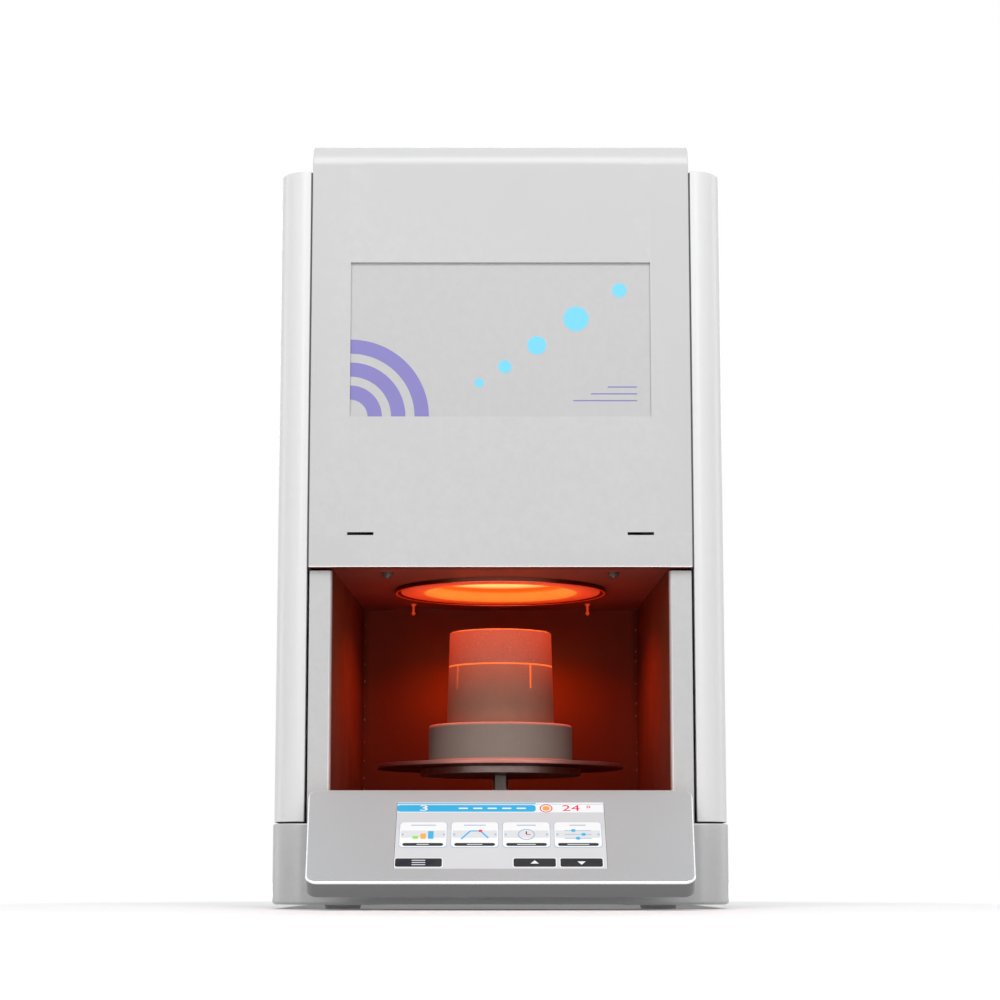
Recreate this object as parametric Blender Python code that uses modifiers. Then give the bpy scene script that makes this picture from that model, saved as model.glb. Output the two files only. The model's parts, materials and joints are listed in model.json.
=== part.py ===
"""Dental lab furnace with a bottom loading lift, modelled as separate pieces in metres, +Z up.

X runs to the user's right, the front is -Y, and the origin lies on the table under the middle.
"""
import math

import bmesh
import bpy
from mathutils import Matrix, Vector

# Clearances and cutting
seat_gap = 0.0003
cut_overrun = 0.004
weld_distance = 0.00001
flat_angle = math.radians(0.05)
bevel_angle = math.radians(40)
smooth_angle = math.radians(35)

# Sheet metal
sheet = 0.002
wall_sheet = 0.0015
base_wall = 0.003
ceiling_plate = 0.003
edge_round = 0.0014
fine_edge = 0.0006

# Feet and base
foot_height = 0.0077
foot_radius = 0.018
foot_inset = 0.045
foot_side_inset = 0.064
foot_taper = 0.002
base_lift = 0.004
base_rim_z = 0.0775
floor_drop = 0.0035
rear_corner = 0.008
base_step = 0.0018
base_plate_z = foot_height + seat_gap
base_plate_top = base_plate_z + sheet
floor_top = base_rim_z - floor_drop
floor_bottom = floor_top - sheet

# Widths, from the opening outwards
opening_half = 0.157
post_width = 0.0205
post_inset = 0.0005
cover_gap = 0.0016
column_width = 0.0286
post_outer = opening_half + post_width
cover_half = post_outer + post_inset
column_inner = cover_half + cover_gap
column_outer = column_inner + column_width
base_half = column_outer + base_step

# Depths, from the front edge of the control panel to the rear
panel_run = 0.102
panel_standoff = 0.008
post_setback = 0.006
post_depth = 0.0157
compartment_depth = 0.351
lift_bay_depth = 0.0672
rear_reach = 0.006
corner_depth = 0.030
body_depth = (post_setback + post_depth + seat_gap + compartment_depth + seat_gap
              + wall_sheet + lift_bay_depth + sheet)
overall_depth = panel_run + panel_standoff + body_depth + rear_reach
body_front = panel_run + panel_standoff - overall_depth / 2
body_rear = body_front + body_depth
post_front = body_front + post_setback
post_rear = post_front + post_depth
wall_front = post_rear + seat_gap
wall_rear = wall_front + compartment_depth
back_front = wall_rear + seat_gap
back_rear = back_front + wall_sheet
rear_inner = body_rear - sheet

# Heights of the compartment and of the casing
compartment_height = 0.2413
upper_height = 0.3772
crown_rise = 0.0290
crown_radius = 0.024
post_top_gap = 0.0048
ceiling_z = floor_top + compartment_height
ceiling_top = ceiling_z + ceiling_plate
cover_bottom = ceiling_z - seat_gap - sheet
post_top = ceiling_z - post_top_gap
side_top = ceiling_z + upper_height
crown_top = side_top + crown_rise

# Front cover
flange_depth = 0.018
crown_depth = 0.040
recess_half = 0.141
recess_height = 0.148
recess_rise = 0.142
recess_lap = 0.006
recess_sheet = 0.0015
slot_length = 0.0245
slot_height = 0.0028
slot_outer = 0.1425
slot_rise = 0.030

# Side covers
column_return = 0.016

# Compartment walls
wall_setback = 0.001
wall_draw_in = 0.011
wall_flange = 0.009
arm_slot_margin = 0.003
arm_slot_end_share = 0.95

# Crucible
crucible_radius = 0.0535
crucible_draft = 0.0027
crucible_wall = 0.0055
bowl_height = 0.0582
bowl_floor = 0.006
notch_depth = 0.024
notch_width = 0.0026
notch_turn = math.radians(35)
notch_count = 4
lid_height = 0.034
lid_roof = 0.006
lid_spigot = 0.002
crucible_edge = 0.0015
lift_off_height = 0.030

# Lift table
tray_clearance = 0.0547
hub_thickness = 0.0065
hub_ledge = 0.0082
tray_thickness = 0.004
tray_overhang = 0.0515
plug_ledge = 0.018
plug_height = 0.0387
plug_edge = 0.002
plug_radius = crucible_radius + plug_ledge
hub_radius = plug_radius + hub_ledge
tray_radius = plug_radius + tray_overhang
hub_z = floor_top + tray_clearance
hub_top = hub_z + hub_thickness
tray_z = hub_top + seat_gap
tray_top = tray_z + tray_thickness
plug_z = tray_top + seat_gap
plug_top = plug_z + plug_height
bowl_z = plug_top + seat_gap
bowl_top = bowl_z + bowl_height
lid_z = bowl_top + seat_gap
lid_top = lid_z + lid_height
axis_y = (wall_front + wall_rear) / 2

# Furnace mouth
mouth_clearance = 0.0015
ring_face = 0.0273
ring_drop = 0.0033
ring_margin = 0.008
ring_round = 0.0035
collar_gap = 0.0032
collar_wall = 0.002
collar_drop = 0.0043
collar_flange = 0.0065
lift_stop_gap = 0.001
mouth_radius = plug_radius + mouth_clearance
ring_radius = mouth_radius + ring_face
collar_inner = ring_radius + collar_gap
collar_outer = collar_inner + collar_wall
collar_bottom = ceiling_z - collar_drop
collar_top = ceiling_top + seat_gap + wall_sheet
ring_bottom = ceiling_z - ring_drop
lift_travel = collar_bottom - lift_stop_gap - tray_top
ring_top = plug_top + lift_travel + ring_margin

# Hot chamber
element_clearance = 0.007
element_radius = 0.003
cold_end_radius = 0.006
element_pitch = 0.036
element_count = 4
element_foot_gap = 0.006
element_stub = 0.020
cold_end_dip = 0.010
chamber_clearance = 0.007
insulation_wall = 0.064
roof_clearance = 0.009
roof_thickness = 0.048
carrier_height = 0.012
carrier_band = 0.030
leg_play = 0.0006
can_opening_margin = 0.006
probe_radius = 0.003
probe_reach = 0.060
probe_head_radius = 0.008
probe_head_height = 0.024
probe_wall_gap = 0.003
probe_turn_share = 0.67
element_plane = crucible_radius + element_clearance + element_radius
leg_circle = math.hypot(element_plane, element_pitch / 2)
chamber_radius = leg_circle + element_radius + chamber_clearance
probe_circle = chamber_radius - probe_wall_gap - probe_radius
insulation_radius = chamber_radius + insulation_wall
can_inner = insulation_radius + seat_gap
can_outer = can_inner + wall_sheet
chamber_top = lid_top + lift_travel + 2 * lift_off_height + roof_clearance
roof_z = chamber_top + seat_gap
roof_top = roof_z + roof_thickness
carrier_z = roof_top + seat_gap
carrier_top = carrier_z + carrier_height

# Lift drive
rod_spacing = 0.090
rod_radius = 0.005
screw_radius = 0.006
block_width = 0.116
block_depth = 0.030
block_height = 0.013
carriage_height = 0.026
carriage_rest_gap = 0.003
block_edge = 0.002
nut_radius = 0.011
nut_flange_radius = 0.017
nut_flange = 0.004
arm_thickness = 0.0115
arm_nose = 0.035
arm_nose_height = 0.020
arm_shoulder_gap = 0.010
lift_y = back_rear + lift_bay_depth / 2
carriage_z = floor_top + seat_gap + block_height + carriage_rest_gap
carriage_top = carriage_z + carriage_height
motor_width = 0.042
motor_corner = 0.005
coupling_space = 0.030
coupling_gap = 0.003
coupling_radius = 0.009
motor_shaft_radius = 0.003
shaft_socket = 0.008
motor_top = floor_bottom - coupling_space
coupling_z = motor_top + coupling_gap
coupling_top = floor_bottom - coupling_gap
coupling_middle = (coupling_z + coupling_top) / 2

# Control panel
panel_rise = 0.0837
panel_foot_z = 0.0240
panel_top_half = 0.1747
panel_foot_half = 0.169
panel_thickness = 0.017
panel_corner = 0.010
panel_wall = 0.0025
panel_edge = 0.0024
screen_half = 0.0932
screen_length = 0.0944
screen_offset = 0.0003
screen_recess = 0.0006
glass_thickness = 0.003
bezel_lap = 0.005
bezel_thickness = 0.0032
board_inset = 0.005
board_thickness = 0.0016
chip_height = 0.005
chip_shares = ((-0.6, 0.4, 0.25), (0.1, -0.3, 0.35), (0.65, 0.35, 0.20))
neck_inset = 0.040
neck_foot_rise = 0.008
neck_top_drop = 0.0015
panel_slope = math.atan2(panel_rise, panel_run)
panel_length = math.hypot(panel_rise, panel_run)
panel_middle_y = body_front - panel_standoff - panel_run / 2
panel_middle_z = panel_foot_z + panel_rise / 2

# Rear of the casing
fan_size = 0.092
fan_depth = 0.025
fan_bore = 0.043
fan_drop = 0.0822
fan_corner = 0.006
fan_hub_radius = 0.018
fan_hub_depth = 0.018
fan_tip_gap = 0.0015
fan_strut = 0.006
fan_mount_depth = 0.003
fan_z = side_top - fan_drop
blade_thickness = 0.0016
blade_chord = 0.021
blade_pitch = math.radians(38)
blade_count = 7
guard_sheet = 0.0016
guard_bar = 0.0022
guard_rings = 4
vent_length = 0.050
vent_width = 0.0045
vent_pitch = 0.011
vent_end_share = 0.49
rear_vent_rows = 7
rear_vent_rise = 0.260
rear_vent_offset = 0.085
top_vent_rows = 9
top_vent_offset = 0.075
socket_inset = 0.060
socket_x = cover_half - socket_inset
socket_rise = 0.062
inlet_width = 0.0275
inlet_height = 0.0215
inlet_depth = 0.024
inlet_flange = 0.004
inlet_wall = 0.002
inlet_well = 0.015
pin_length = 0.009
pin_width = 0.002
pin_height = 0.004
pin_spread = 0.007
pin_offset = 0.002
pin_place_shares = ((-1, -1), (0, 1), (1, -1))
socket_corner = 0.0025
switch_gap = 0.030
rocker_radius = 0.010
rocker_half_width = 0.0065
rocker_sink = 0.003
rocker_valley = 0.0026
rocker_play = 0.0005
rocker_tilt = math.radians(11)
rocker_face_angle = math.radians(65)
rocker_back_angle = math.radians(110)
switch_wall = 0.0018
switch_depth = 0.020

# Parts in the base
transformer_radius = 0.055
transformer_bore = 0.016
transformer_round = 0.010
transformer_height_share = 0.80
transformer_place_share = (-0.50, 0.55)
sink_width = 0.060
sink_length = 0.090
sink_floor = 0.005
sink_fin = 0.002
sink_fins = 8
sink_height_share = 0.55
sink_place_share = (0.50, 0.50)

# Facets
round_sides = 40
small_sides = 12
torus_sides = 24
corner_steps = 4
arc_steps = 7
guard_steps = 4

planes = {
    "XY": Matrix(((1, 0, 0, 0), (0, 1, 0, 0), (0, 0, 1, 0), (0, 0, 0, 1))),
    "YZ": Matrix(((0, 0, 1, 0), (1, 0, 0, 0), (0, 1, 0, 0), (0, 0, 0, 1))),
    "XZ": Matrix(((1, 0, 0, 0), (0, 0, 1, 0), (0, 1, 0, 0), (0, 0, 0, 1))),
}


# Scene, collections and materials

for old in list(bpy.data.objects):
    bpy.data.objects.remove(old, do_unlink=True)

parts = bpy.data.collections.new("dental_lab_furnace")
cutters = bpy.data.collections.new("cutters")
bpy.context.scene.collection.children.link(parts)
bpy.context.scene.collection.children.link(cutters)


def make_material(name, colour, roughness, metallic=0.0):
    material = bpy.data.materials.new(name)
    material.use_nodes = True
    shader = material.node_tree.nodes["Principled BSDF"]
    shader.inputs["Base Color"].default_value = (*colour, 1.0)
    shader.inputs["Roughness"].default_value = roughness
    shader.inputs["Metallic"].default_value = metallic
    material.diffuse_color = (*colour, 1.0)
    return material


white_paint = make_material("white_paint", (0.80, 0.80, 0.80), 0.35)
silver_paint = make_material("silver_paint", (0.64, 0.64, 0.65), 0.42, 0.25)
panel_paint = make_material("panel_paint", (0.50, 0.50, 0.50), 0.45, 0.20)
post_paint = make_material("post_paint", (0.56, 0.56, 0.56), 0.45)
recess_paint = make_material("recess_paint", (0.62, 0.62, 0.61), 0.55)
oxide_paint = make_material("oxide_paint", (0.22, 0.05, 0.03), 0.60)
refractory = make_material("refractory", (0.72, 0.60, 0.50), 0.95)
alumina = make_material("alumina", (0.78, 0.74, 0.68), 0.85)
stainless = make_material("stainless", (0.60, 0.59, 0.57), 0.32, 1.0)
dark_steel = make_material("dark_steel", (0.12, 0.11, 0.11), 0.45, 0.9)
machined = make_material("machined", (0.58, 0.58, 0.60), 0.38, 1.0)
bronze = make_material("bronze", (0.60, 0.40, 0.18), 0.35, 1.0)
silicide = make_material("silicide", (0.20, 0.19, 0.18), 0.50, 0.4)
black_plastic = make_material("black_plastic", (0.03, 0.03, 0.03), 0.45)
black_rubber = make_material("black_rubber", (0.02, 0.02, 0.02), 0.80)
circuit_green = make_material("circuit_green", (0.03, 0.22, 0.10), 0.50)
copper = make_material("copper", (0.70, 0.32, 0.14), 0.40, 1.0)
dark_glass = make_material("dark_glass", (0.02, 0.03, 0.04), 0.08)


# Flat outlines

def rounded_outline(corners, steps=corner_steps):
    """Corners are (u, v, radius); a corner with a radius becomes an arc."""
    outline = []
    for index, (u, v, radius) in enumerate(corners):
        if radius == 0:
            outline.append((u, v))
            continue
        here = Vector((u, v))
        before = (Vector(corners[index - 1][:2]) - here).normalized()
        after = (Vector(corners[(index + 1) % len(corners)][:2]) - here).normalized()
        half_angle = before.angle(after) / 2
        middle = here + (before + after).normalized() * (radius / math.sin(half_angle))
        start = here + before * (radius / math.tan(half_angle)) - middle
        end = here + after * (radius / math.tan(half_angle)) - middle
        turn = start.angle_signed(end)
        for step in range(steps + 1):
            arm = start.copy()
            arm.rotate(Matrix.Rotation(-turn * step / steps, 2))
            outline.append(tuple(middle + arm))
    return outline


def rectangle(u_span, v_span, radius=0.0, steps=corner_steps):
    return rounded_outline([
        (u_span[0], v_span[0], radius),
        (u_span[1], v_span[0], radius),
        (u_span[1], v_span[1], radius),
        (u_span[0], v_span[1], radius),
    ], steps)


def circle(centre, radius, sides=round_sides):
    turn = 2 * math.pi / sides
    return [(centre[0] + radius * math.cos(step * turn), centre[1] + radius * math.sin(step * turn))
            for step in range(sides)]


def ring_sector(inner, outer, start, end):
    """A sector of a ring about the middle."""
    turns = [start + (end - start) * step / guard_steps for step in range(guard_steps + 1)]
    far = [(outer * math.cos(turn), outer * math.sin(turn)) for turn in turns]
    near = [(inner * math.cos(turn), inner * math.sin(turn)) for turn in reversed(turns)]
    return far + near


def around(middle, half):
    return (middle - half, middle + half)


# Solids

def outline_mesh(name, outlines, span, plane="XY"):
    """A closed solid of flat outlines; outlines that lie inside the first are its holes."""
    curve = bpy.data.curves.new(name + "_outline", "CURVE")
    curve.dimensions = "2D"
    curve.fill_mode = "BOTH"
    curve.extrude = (span[1] - span[0]) / 2
    for outline in outlines:
        spline = curve.splines.new("POLY")
        spline.points.add(len(outline) - 1)
        for point, (u, v) in zip(spline.points, outline):
            point.co = (u, v, 0.0, 1.0)
        spline.use_cyclic_u = True
    holder = bpy.data.objects.new(name + "_outline", curve)
    cutters.objects.link(holder)
    evaluated = holder.evaluated_get(bpy.context.evaluated_depsgraph_get())
    mesh = bpy.data.meshes.new_from_object(evaluated)
    bpy.data.objects.remove(holder)
    shape = bmesh.new()
    shape.from_mesh(mesh)
    bmesh.ops.remove_doubles(shape, verts=shape.verts, dist=weld_distance)
    bmesh.ops.translate(shape, verts=shape.verts, vec=(0.0, 0.0, (span[0] + span[1]) / 2))
    bmesh.ops.transform(shape, matrix=planes[plane], verts=shape.verts)
    bmesh.ops.recalc_face_normals(shape, faces=shape.faces)
    bmesh.ops.dissolve_limit(shape, angle_limit=flat_angle, verts=shape.verts, edges=shape.edges)
    shape.to_mesh(mesh)
    shape.free()
    mesh.name = name
    return mesh


def block_mesh(name, spans):
    shape = bmesh.new()
    bmesh.ops.create_cube(shape, size=1.0)
    bmesh.ops.scale(shape, vec=[high - low for low, high in spans], verts=shape.verts)
    bmesh.ops.translate(shape, vec=[(low + high) / 2 for low, high in spans], verts=shape.verts)
    mesh = bpy.data.meshes.new(name)
    shape.to_mesh(mesh)
    shape.free()
    return mesh


def rod_mesh(name, radius, z_span, sides=small_sides, top_radius=None):
    shape = bmesh.new()
    bmesh.ops.create_cone(shape, cap_ends=True, segments=sides, radius1=radius,
                          radius2=radius if top_radius is None else top_radius,
                          depth=z_span[1] - z_span[0])
    bmesh.ops.translate(shape, vec=(0.0, 0.0, (z_span[0] + z_span[1]) / 2), verts=shape.verts)
    mesh = bpy.data.meshes.new(name)
    shape.to_mesh(mesh)
    shape.free()
    return mesh


def joined_mesh(name, meshes):
    """Several solids in one mesh, for a cutter or a row of like pieces."""
    shape = bmesh.new()
    for mesh in meshes:
        shape.from_mesh(mesh)
    joined = bpy.data.meshes.new(name)
    shape.to_mesh(joined)
    shape.free()
    return joined


def moved(mesh, matrix):
    mesh.transform(matrix)
    return mesh


def add_part(name, mesh, material, location=(0.0, 0.0, 0.0), rotation=(0.0, 0.0, 0.0)):
    part = bpy.data.objects.new(name, mesh)
    part.location = location
    part.rotation_euler = rotation
    parts.objects.link(part)
    mesh.materials.clear()
    mesh.materials.append(material)
    return part


def add_turned(name, profile, material, centre=(0.0, 0.0), sides=round_sides, closed=False):
    """Turns a profile of (radius, z) points, outer side from top to bottom, about Z."""
    mesh = bpy.data.meshes.new(name)
    edges = [(index, index + 1) for index in range(len(profile) - 1)]
    if closed:
        edges.append((len(profile) - 1, 0))
    mesh.from_pydata([(radius, 0.0, z) for radius, z in profile], edges, [])
    part = add_part(name, mesh, material, (centre[0], centre[1], 0.0))
    screw = part.modifiers.new("turn", "SCREW")
    screw.axis = "Z"
    screw.angle = 2 * math.pi
    screw.steps = sides
    screw.render_steps = sides
    screw.use_merge_vertices = True
    screw.merge_threshold = weld_distance
    screw.use_smooth_shade = True
    return part


def soften(part, width, segments=2):
    bevel = part.modifiers.new("edges", "BEVEL")
    bevel.width = width
    bevel.segments = segments
    bevel.limit_method = "ANGLE"
    bevel.angle_limit = bevel_angle


def combine(part, mesh, operation="DIFFERENCE"):
    """Cuts a mesh out of a part, or fuses it on; the mesh stands in the part's own frame."""
    tool = bpy.data.objects.new(part.name + "_tool", mesh)
    tool.location = part.location
    tool.rotation_euler = part.rotation_euler
    tool.hide_render = True
    tool.display_type = "WIRE"
    cutters.objects.link(tool)
    boolean = part.modifiers.new("shape", "BOOLEAN")
    boolean.operation = operation
    boolean.solver = "EXACT"
    boolean.object = tool


def smooth(part):
    part.data.shade_smooth()
    part.data.set_sharp_from_angle(angle=smooth_angle)


# Base

def body_outline(half, front, rear, corner_width, corner_length, rear_radius):
    """Plan of the casing: elliptical front corners and small rear ones."""
    outline = []
    for step in range(arc_steps + 1):
        turn = math.pi / 2 * step / arc_steps
        outline.append((half - corner_width * (1 - math.sin(turn)),
                        front + corner_length * (1 - math.cos(turn))))
    for step in range(corner_steps + 1):
        turn = math.pi / 2 * step / corner_steps
        outline.append((half - rear_radius * (1 - math.cos(turn)),
                        rear - rear_radius * (1 - math.sin(turn))))
    mirrored = [(-x, y) for x, y in reversed(outline)]
    return outline + mirrored


def inset_body_outline(inset):
    return body_outline(base_half - inset, body_front + inset, body_rear - inset,
                        column_width + base_step - inset, corner_depth - inset, rear_corner - inset)


def build_base():
    shell = add_part("base_shell", outline_mesh("base_shell", [inset_body_outline(0.0)],
                                                (base_lift, base_rim_z)), silver_paint)
    soften(shell, edge_round)
    combine(shell, outline_mesh("base_hollow", [inset_body_outline(base_wall)],
                                (base_lift - cut_overrun, base_rim_z + cut_overrun)))
    window_half = panel_foot_half - neck_inset - panel_wall
    combine(shell, block_mesh("neck_window", (
        (-window_half, window_half),
        (body_front - cut_overrun, body_front + base_wall + cut_overrun),
        (panel_foot_z + neck_foot_rise, base_rim_z - 2 * neck_foot_rise))))

    inner = inset_body_outline(base_wall + seat_gap)
    add_part("base_plate", outline_mesh("base_plate", [inner], (base_plate_z, base_plate_top)), dark_steel)
    screw_hole = circle((0.0, lift_y), coupling_radius, small_sides)
    add_part("compartment_floor", outline_mesh("compartment_floor", [inner, screw_hole],
                                               (floor_bottom, floor_top)), oxide_paint)
    for name, side, end in (("foot_front_left", -1, -1), ("foot_front_right", 1, -1),
                            ("foot_rear_left", -1, 1), ("foot_rear_right", 1, 1)):
        place_y = body_front + foot_inset if end < 0 else body_rear - foot_inset
        foot = add_part(name, rod_mesh(name, foot_radius - foot_taper, (0.0, foot_height), small_sides * 2,
                                       foot_radius), black_rubber,
                        (side * (base_half - foot_side_inset), place_y, 0.0))
        smooth(foot)


# Casing

def column_outline(side, inset, opening):
    """Plan of a side cover; with an opening it is the hollow, open towards the middle."""
    outer = column_outer - inset
    front = body_front + base_step + inset
    rear = body_rear - inset
    inner = column_inner + inset
    width = column_width - inset
    length = corner_depth - inset
    outline = []
    for step in range(arc_steps + 1):
        turn = math.pi / 2 * step / arc_steps
        outline.append((outer - width * (1 - math.sin(turn)), front + length * (1 - math.cos(turn))))
    outline[0] = (inner, front)
    for step in range(corner_steps + 1):
        turn = math.pi / 2 * step / corner_steps
        radius = rear_corner - inset
        outline.append((outer - radius * (1 - math.cos(turn)), rear - radius * (1 - math.sin(turn))))
    outline.append((inner, rear))
    if opening:
        outline.append((inner, rear - column_return))
        outline.append((column_inner - cut_overrun, rear - column_return))
        outline.append((column_inner - cut_overrun, front + column_return))
        outline.append((inner, front + column_return))
    return [(side * x, y) for x, y in outline]


def build_side_covers():
    for name, side in (("side_cover_left", -1), ("side_cover_right", 1)):
        cover = add_part(name, outline_mesh(name, [column_outline(side, 0.0, False)],
                                            (base_rim_z + seat_gap, side_top)), white_paint)
        soften(cover, edge_round)
        combine(cover, outline_mesh(name + "_hollow", [column_outline(side, sheet, True)],
                                    (base_rim_z - cut_overrun, side_top - sheet)))


def crown_profile(inset, ends):
    """Side view of the casing's middle strip above a given pair of ends."""
    front = body_front + inset
    top = crown_top - inset
    radius = crown_radius - inset
    points = []
    for step in range(arc_steps + 1):
        turn = math.pi / 2 * step / arc_steps
        points.append((front + radius * (1 - math.cos(turn)), top - radius * (1 - math.sin(turn))))
    return [(front, ends[0])] + points + [(ends[1], top)]


def slot_blocks(name, rows, pitch, x_middles, middle, spans):
    """A field of vent slots: one block for each row and each column."""
    blocks = []
    for x_middle in x_middles:
        for row in range(rows):
            offset = middle + (row - (rows - 1) / 2) * pitch
            blocks.append(block_mesh(name, (around(x_middle, vent_length / 2),
                                            around(offset, vent_width / 2), spans)))
    return joined_mesh(name, blocks)


def build_front_cover():
    seam_y = body_front + crown_depth
    flange_y = body_front + flange_depth
    outline = crown_profile(0.0, (cover_bottom, seam_y))
    outline += [(seam_y, side_top), (flange_y, side_top), (flange_y, cover_bottom)]
    cover = add_part("front_cover", outline_mesh("front_cover", [outline], (-cover_half, cover_half), "YZ"),
                     white_paint)
    soften(cover, edge_round)
    hollow = crown_profile(sheet, (cover_bottom + sheet, seam_y + cut_overrun))
    hollow += [(seam_y + cut_overrun, side_top - sheet), (flange_y + cut_overrun, side_top - sheet),
               (flange_y + cut_overrun, cover_bottom + sheet)]
    combine(cover, outline_mesh("front_hollow", [hollow], (sheet - cover_half, cover_half - sheet), "YZ"))
    recess_z = (cover_bottom + recess_rise, cover_bottom + recess_rise + recess_height)
    through = (body_front - cut_overrun, body_front + sheet + cut_overrun)
    slots = [block_mesh("recess", ((-recess_half, recess_half), through, recess_z))]
    for side in (-1, 1):
        ends = sorted((side * (slot_outer - slot_length), side * slot_outer))
        slot_z = cover_bottom + slot_rise
        slots.append(block_mesh("slot", (ends, through, (slot_z, slot_z + slot_height))))
    combine(cover, joined_mesh("front_windows", slots))
    plate_front = body_front + sheet + seat_gap
    plate = add_part("recess_panel", block_mesh("recess_panel", (
        around(0.0, recess_half + recess_lap),
        (plate_front, plate_front + recess_sheet),
        (recess_z[0] - recess_lap, recess_z[1] + recess_lap))), recess_paint)
    soften(plate, fine_edge, 1)


def build_top_cover():
    seam_y = body_front + crown_depth + seat_gap
    bottom = side_top - sheet
    front_half = crown_profile(0.0, (bottom, 0.0))[1:-1]
    rear_arc = [(body_rear - (y - body_front), z) for y, z in reversed(front_half)]
    outline = [(seam_y, bottom), (seam_y, crown_top)] + rear_arc + [(body_rear, bottom)]
    cover = add_part("top_cover", outline_mesh("top_cover", [outline], (-cover_half, cover_half), "YZ"),
                     white_paint)
    soften(cover, edge_round)
    inner_arc = [(body_rear - (y - body_front), z)
                 for y, z in reversed(crown_profile(sheet, (bottom, 0.0))[1:-1])]
    hollow = [(seam_y - cut_overrun, bottom - cut_overrun), (seam_y - cut_overrun, crown_top - sheet)]
    hollow += inner_arc + [(body_rear - sheet, bottom - cut_overrun)]
    combine(cover, outline_mesh("top_hollow", [hollow], (sheet - cover_half, cover_half - sheet), "YZ"))
    combine(cover, slot_blocks("top_vents", top_vent_rows, vent_pitch, (-top_vent_offset, top_vent_offset),
                               axis_y, around(crown_top, sheet + cut_overrun)))


def build_rear_cover():
    bottom = base_rim_z + seat_gap
    top = side_top - sheet - seat_gap
    holes = [circle((0.0, fan_z), fan_bore)]
    for x_middle in (-rear_vent_offset, rear_vent_offset):
        for row in range(rear_vent_rows):
            z_middle = bottom + rear_vent_rise + (row - (rear_vent_rows - 1) / 2) * vent_pitch
            holes.append(rectangle(around(x_middle, vent_length / 2), around(z_middle, vent_width / 2),
                                   vent_width * vent_end_share, 2))
    socket_z = bottom + socket_rise
    holes.append(rectangle(around(socket_x, inlet_width / 2 + seat_gap),
                           around(socket_z, inlet_height / 2 + seat_gap), socket_corner, 3))
    switch_z = socket_z + switch_gap
    holes.append(rectangle(around(socket_x, rocker_half_width + rocker_play + switch_wall + seat_gap),
                           around(switch_z, rocker_radius + rocker_play + switch_wall + seat_gap)))
    cover = [rectangle((-cover_half, cover_half), (bottom, top), edge_round, 2)]
    add_part("rear_cover", outline_mesh("rear_cover", cover + holes, (rear_inner, body_rear), "XZ"),
             white_paint)
    build_inlet(socket_z)
    build_switch(switch_z)


# Mains inlet and switch

def build_inlet(z_middle):
    face = body_rear + seat_gap
    outline = rectangle(around(0.0, inlet_width / 2 + inlet_flange),
                        around(0.0, inlet_height / 2 + inlet_flange / 2), socket_corner, 3)
    inlet = add_part("power_inlet", outline_mesh("power_inlet", [outline], (0.0, wall_sheet), "XZ"),
                     black_plastic, (socket_x, face, z_middle))
    combine(inlet, outline_mesh("inlet_body", [rectangle(
        around(0.0, inlet_width / 2), around(0.0, inlet_height / 2), socket_corner, 3)],
        (body_rear - inlet_depth - face, wall_sheet / 2), "XZ"), "UNION")
    combine(inlet, outline_mesh("inlet_well", [rectangle(
        around(0.0, inlet_width / 2 - inlet_wall), around(0.0, inlet_height / 2 - inlet_wall),
        socket_corner - inlet_wall / 2, 3)],
        (wall_sheet - inlet_well, wall_sheet + cut_overrun), "XZ"))
    pins = []
    for x_share, z_share in pin_place_shares:
        pins.append(block_mesh("pin", (
            around(x_share * pin_spread, pin_width / 2),
            (wall_sheet - inlet_well - pin_width, wall_sheet - inlet_well + pin_length),
            around(z_share * pin_offset, pin_height / 2))))
    combine(inlet, joined_mesh("inlet_pins", pins), "UNION")


def build_switch(z_middle):
    face = body_rear + seat_gap
    half_width = rocker_half_width + seat_gap
    half_height = rocker_radius + rocker_play
    rim = rectangle(around(0.0, half_width + 2 * switch_wall), around(0.0, half_height + 2 * switch_wall),
                    switch_wall, 3)
    frame = add_part("switch_frame", outline_mesh("switch_frame", [rim], (0.0, wall_sheet), "XZ"),
                     black_plastic, (socket_x, face, z_middle))
    combine(frame, block_mesh("switch_body", (
        around(0.0, half_width + switch_wall), (-switch_depth, wall_sheet / 2),
        around(0.0, half_height + switch_wall))), "UNION")
    combine(frame, block_mesh("switch_well", (
        around(0.0, half_width), (switch_wall - switch_depth, wall_sheet + cut_overrun),
        around(0.0, half_height))))
    turns = []
    for step in range(corner_steps + 1):
        turns.append(rocker_face_angle + (rocker_back_angle - rocker_face_angle) * step / corner_steps)
    upper = [(rocker_radius * math.cos(turn), rocker_radius * math.sin(turn)) for turn in turns]
    lower = [(y, -z) for y, z in reversed(upper)]
    outline = [(rocker_valley, 0.0)] + upper + lower
    rocker = outline_mesh("switch_rocker", [outline], (-rocker_half_width, rocker_half_width), "YZ")
    moved(rocker, Matrix.Rotation(-rocker_tilt, 4, "X"))
    part = add_part("switch_rocker", rocker, black_plastic,
                    (socket_x, face + wall_sheet - rocker_sink, z_middle))
    soften(part, fine_edge, 1)


# Fan

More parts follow.
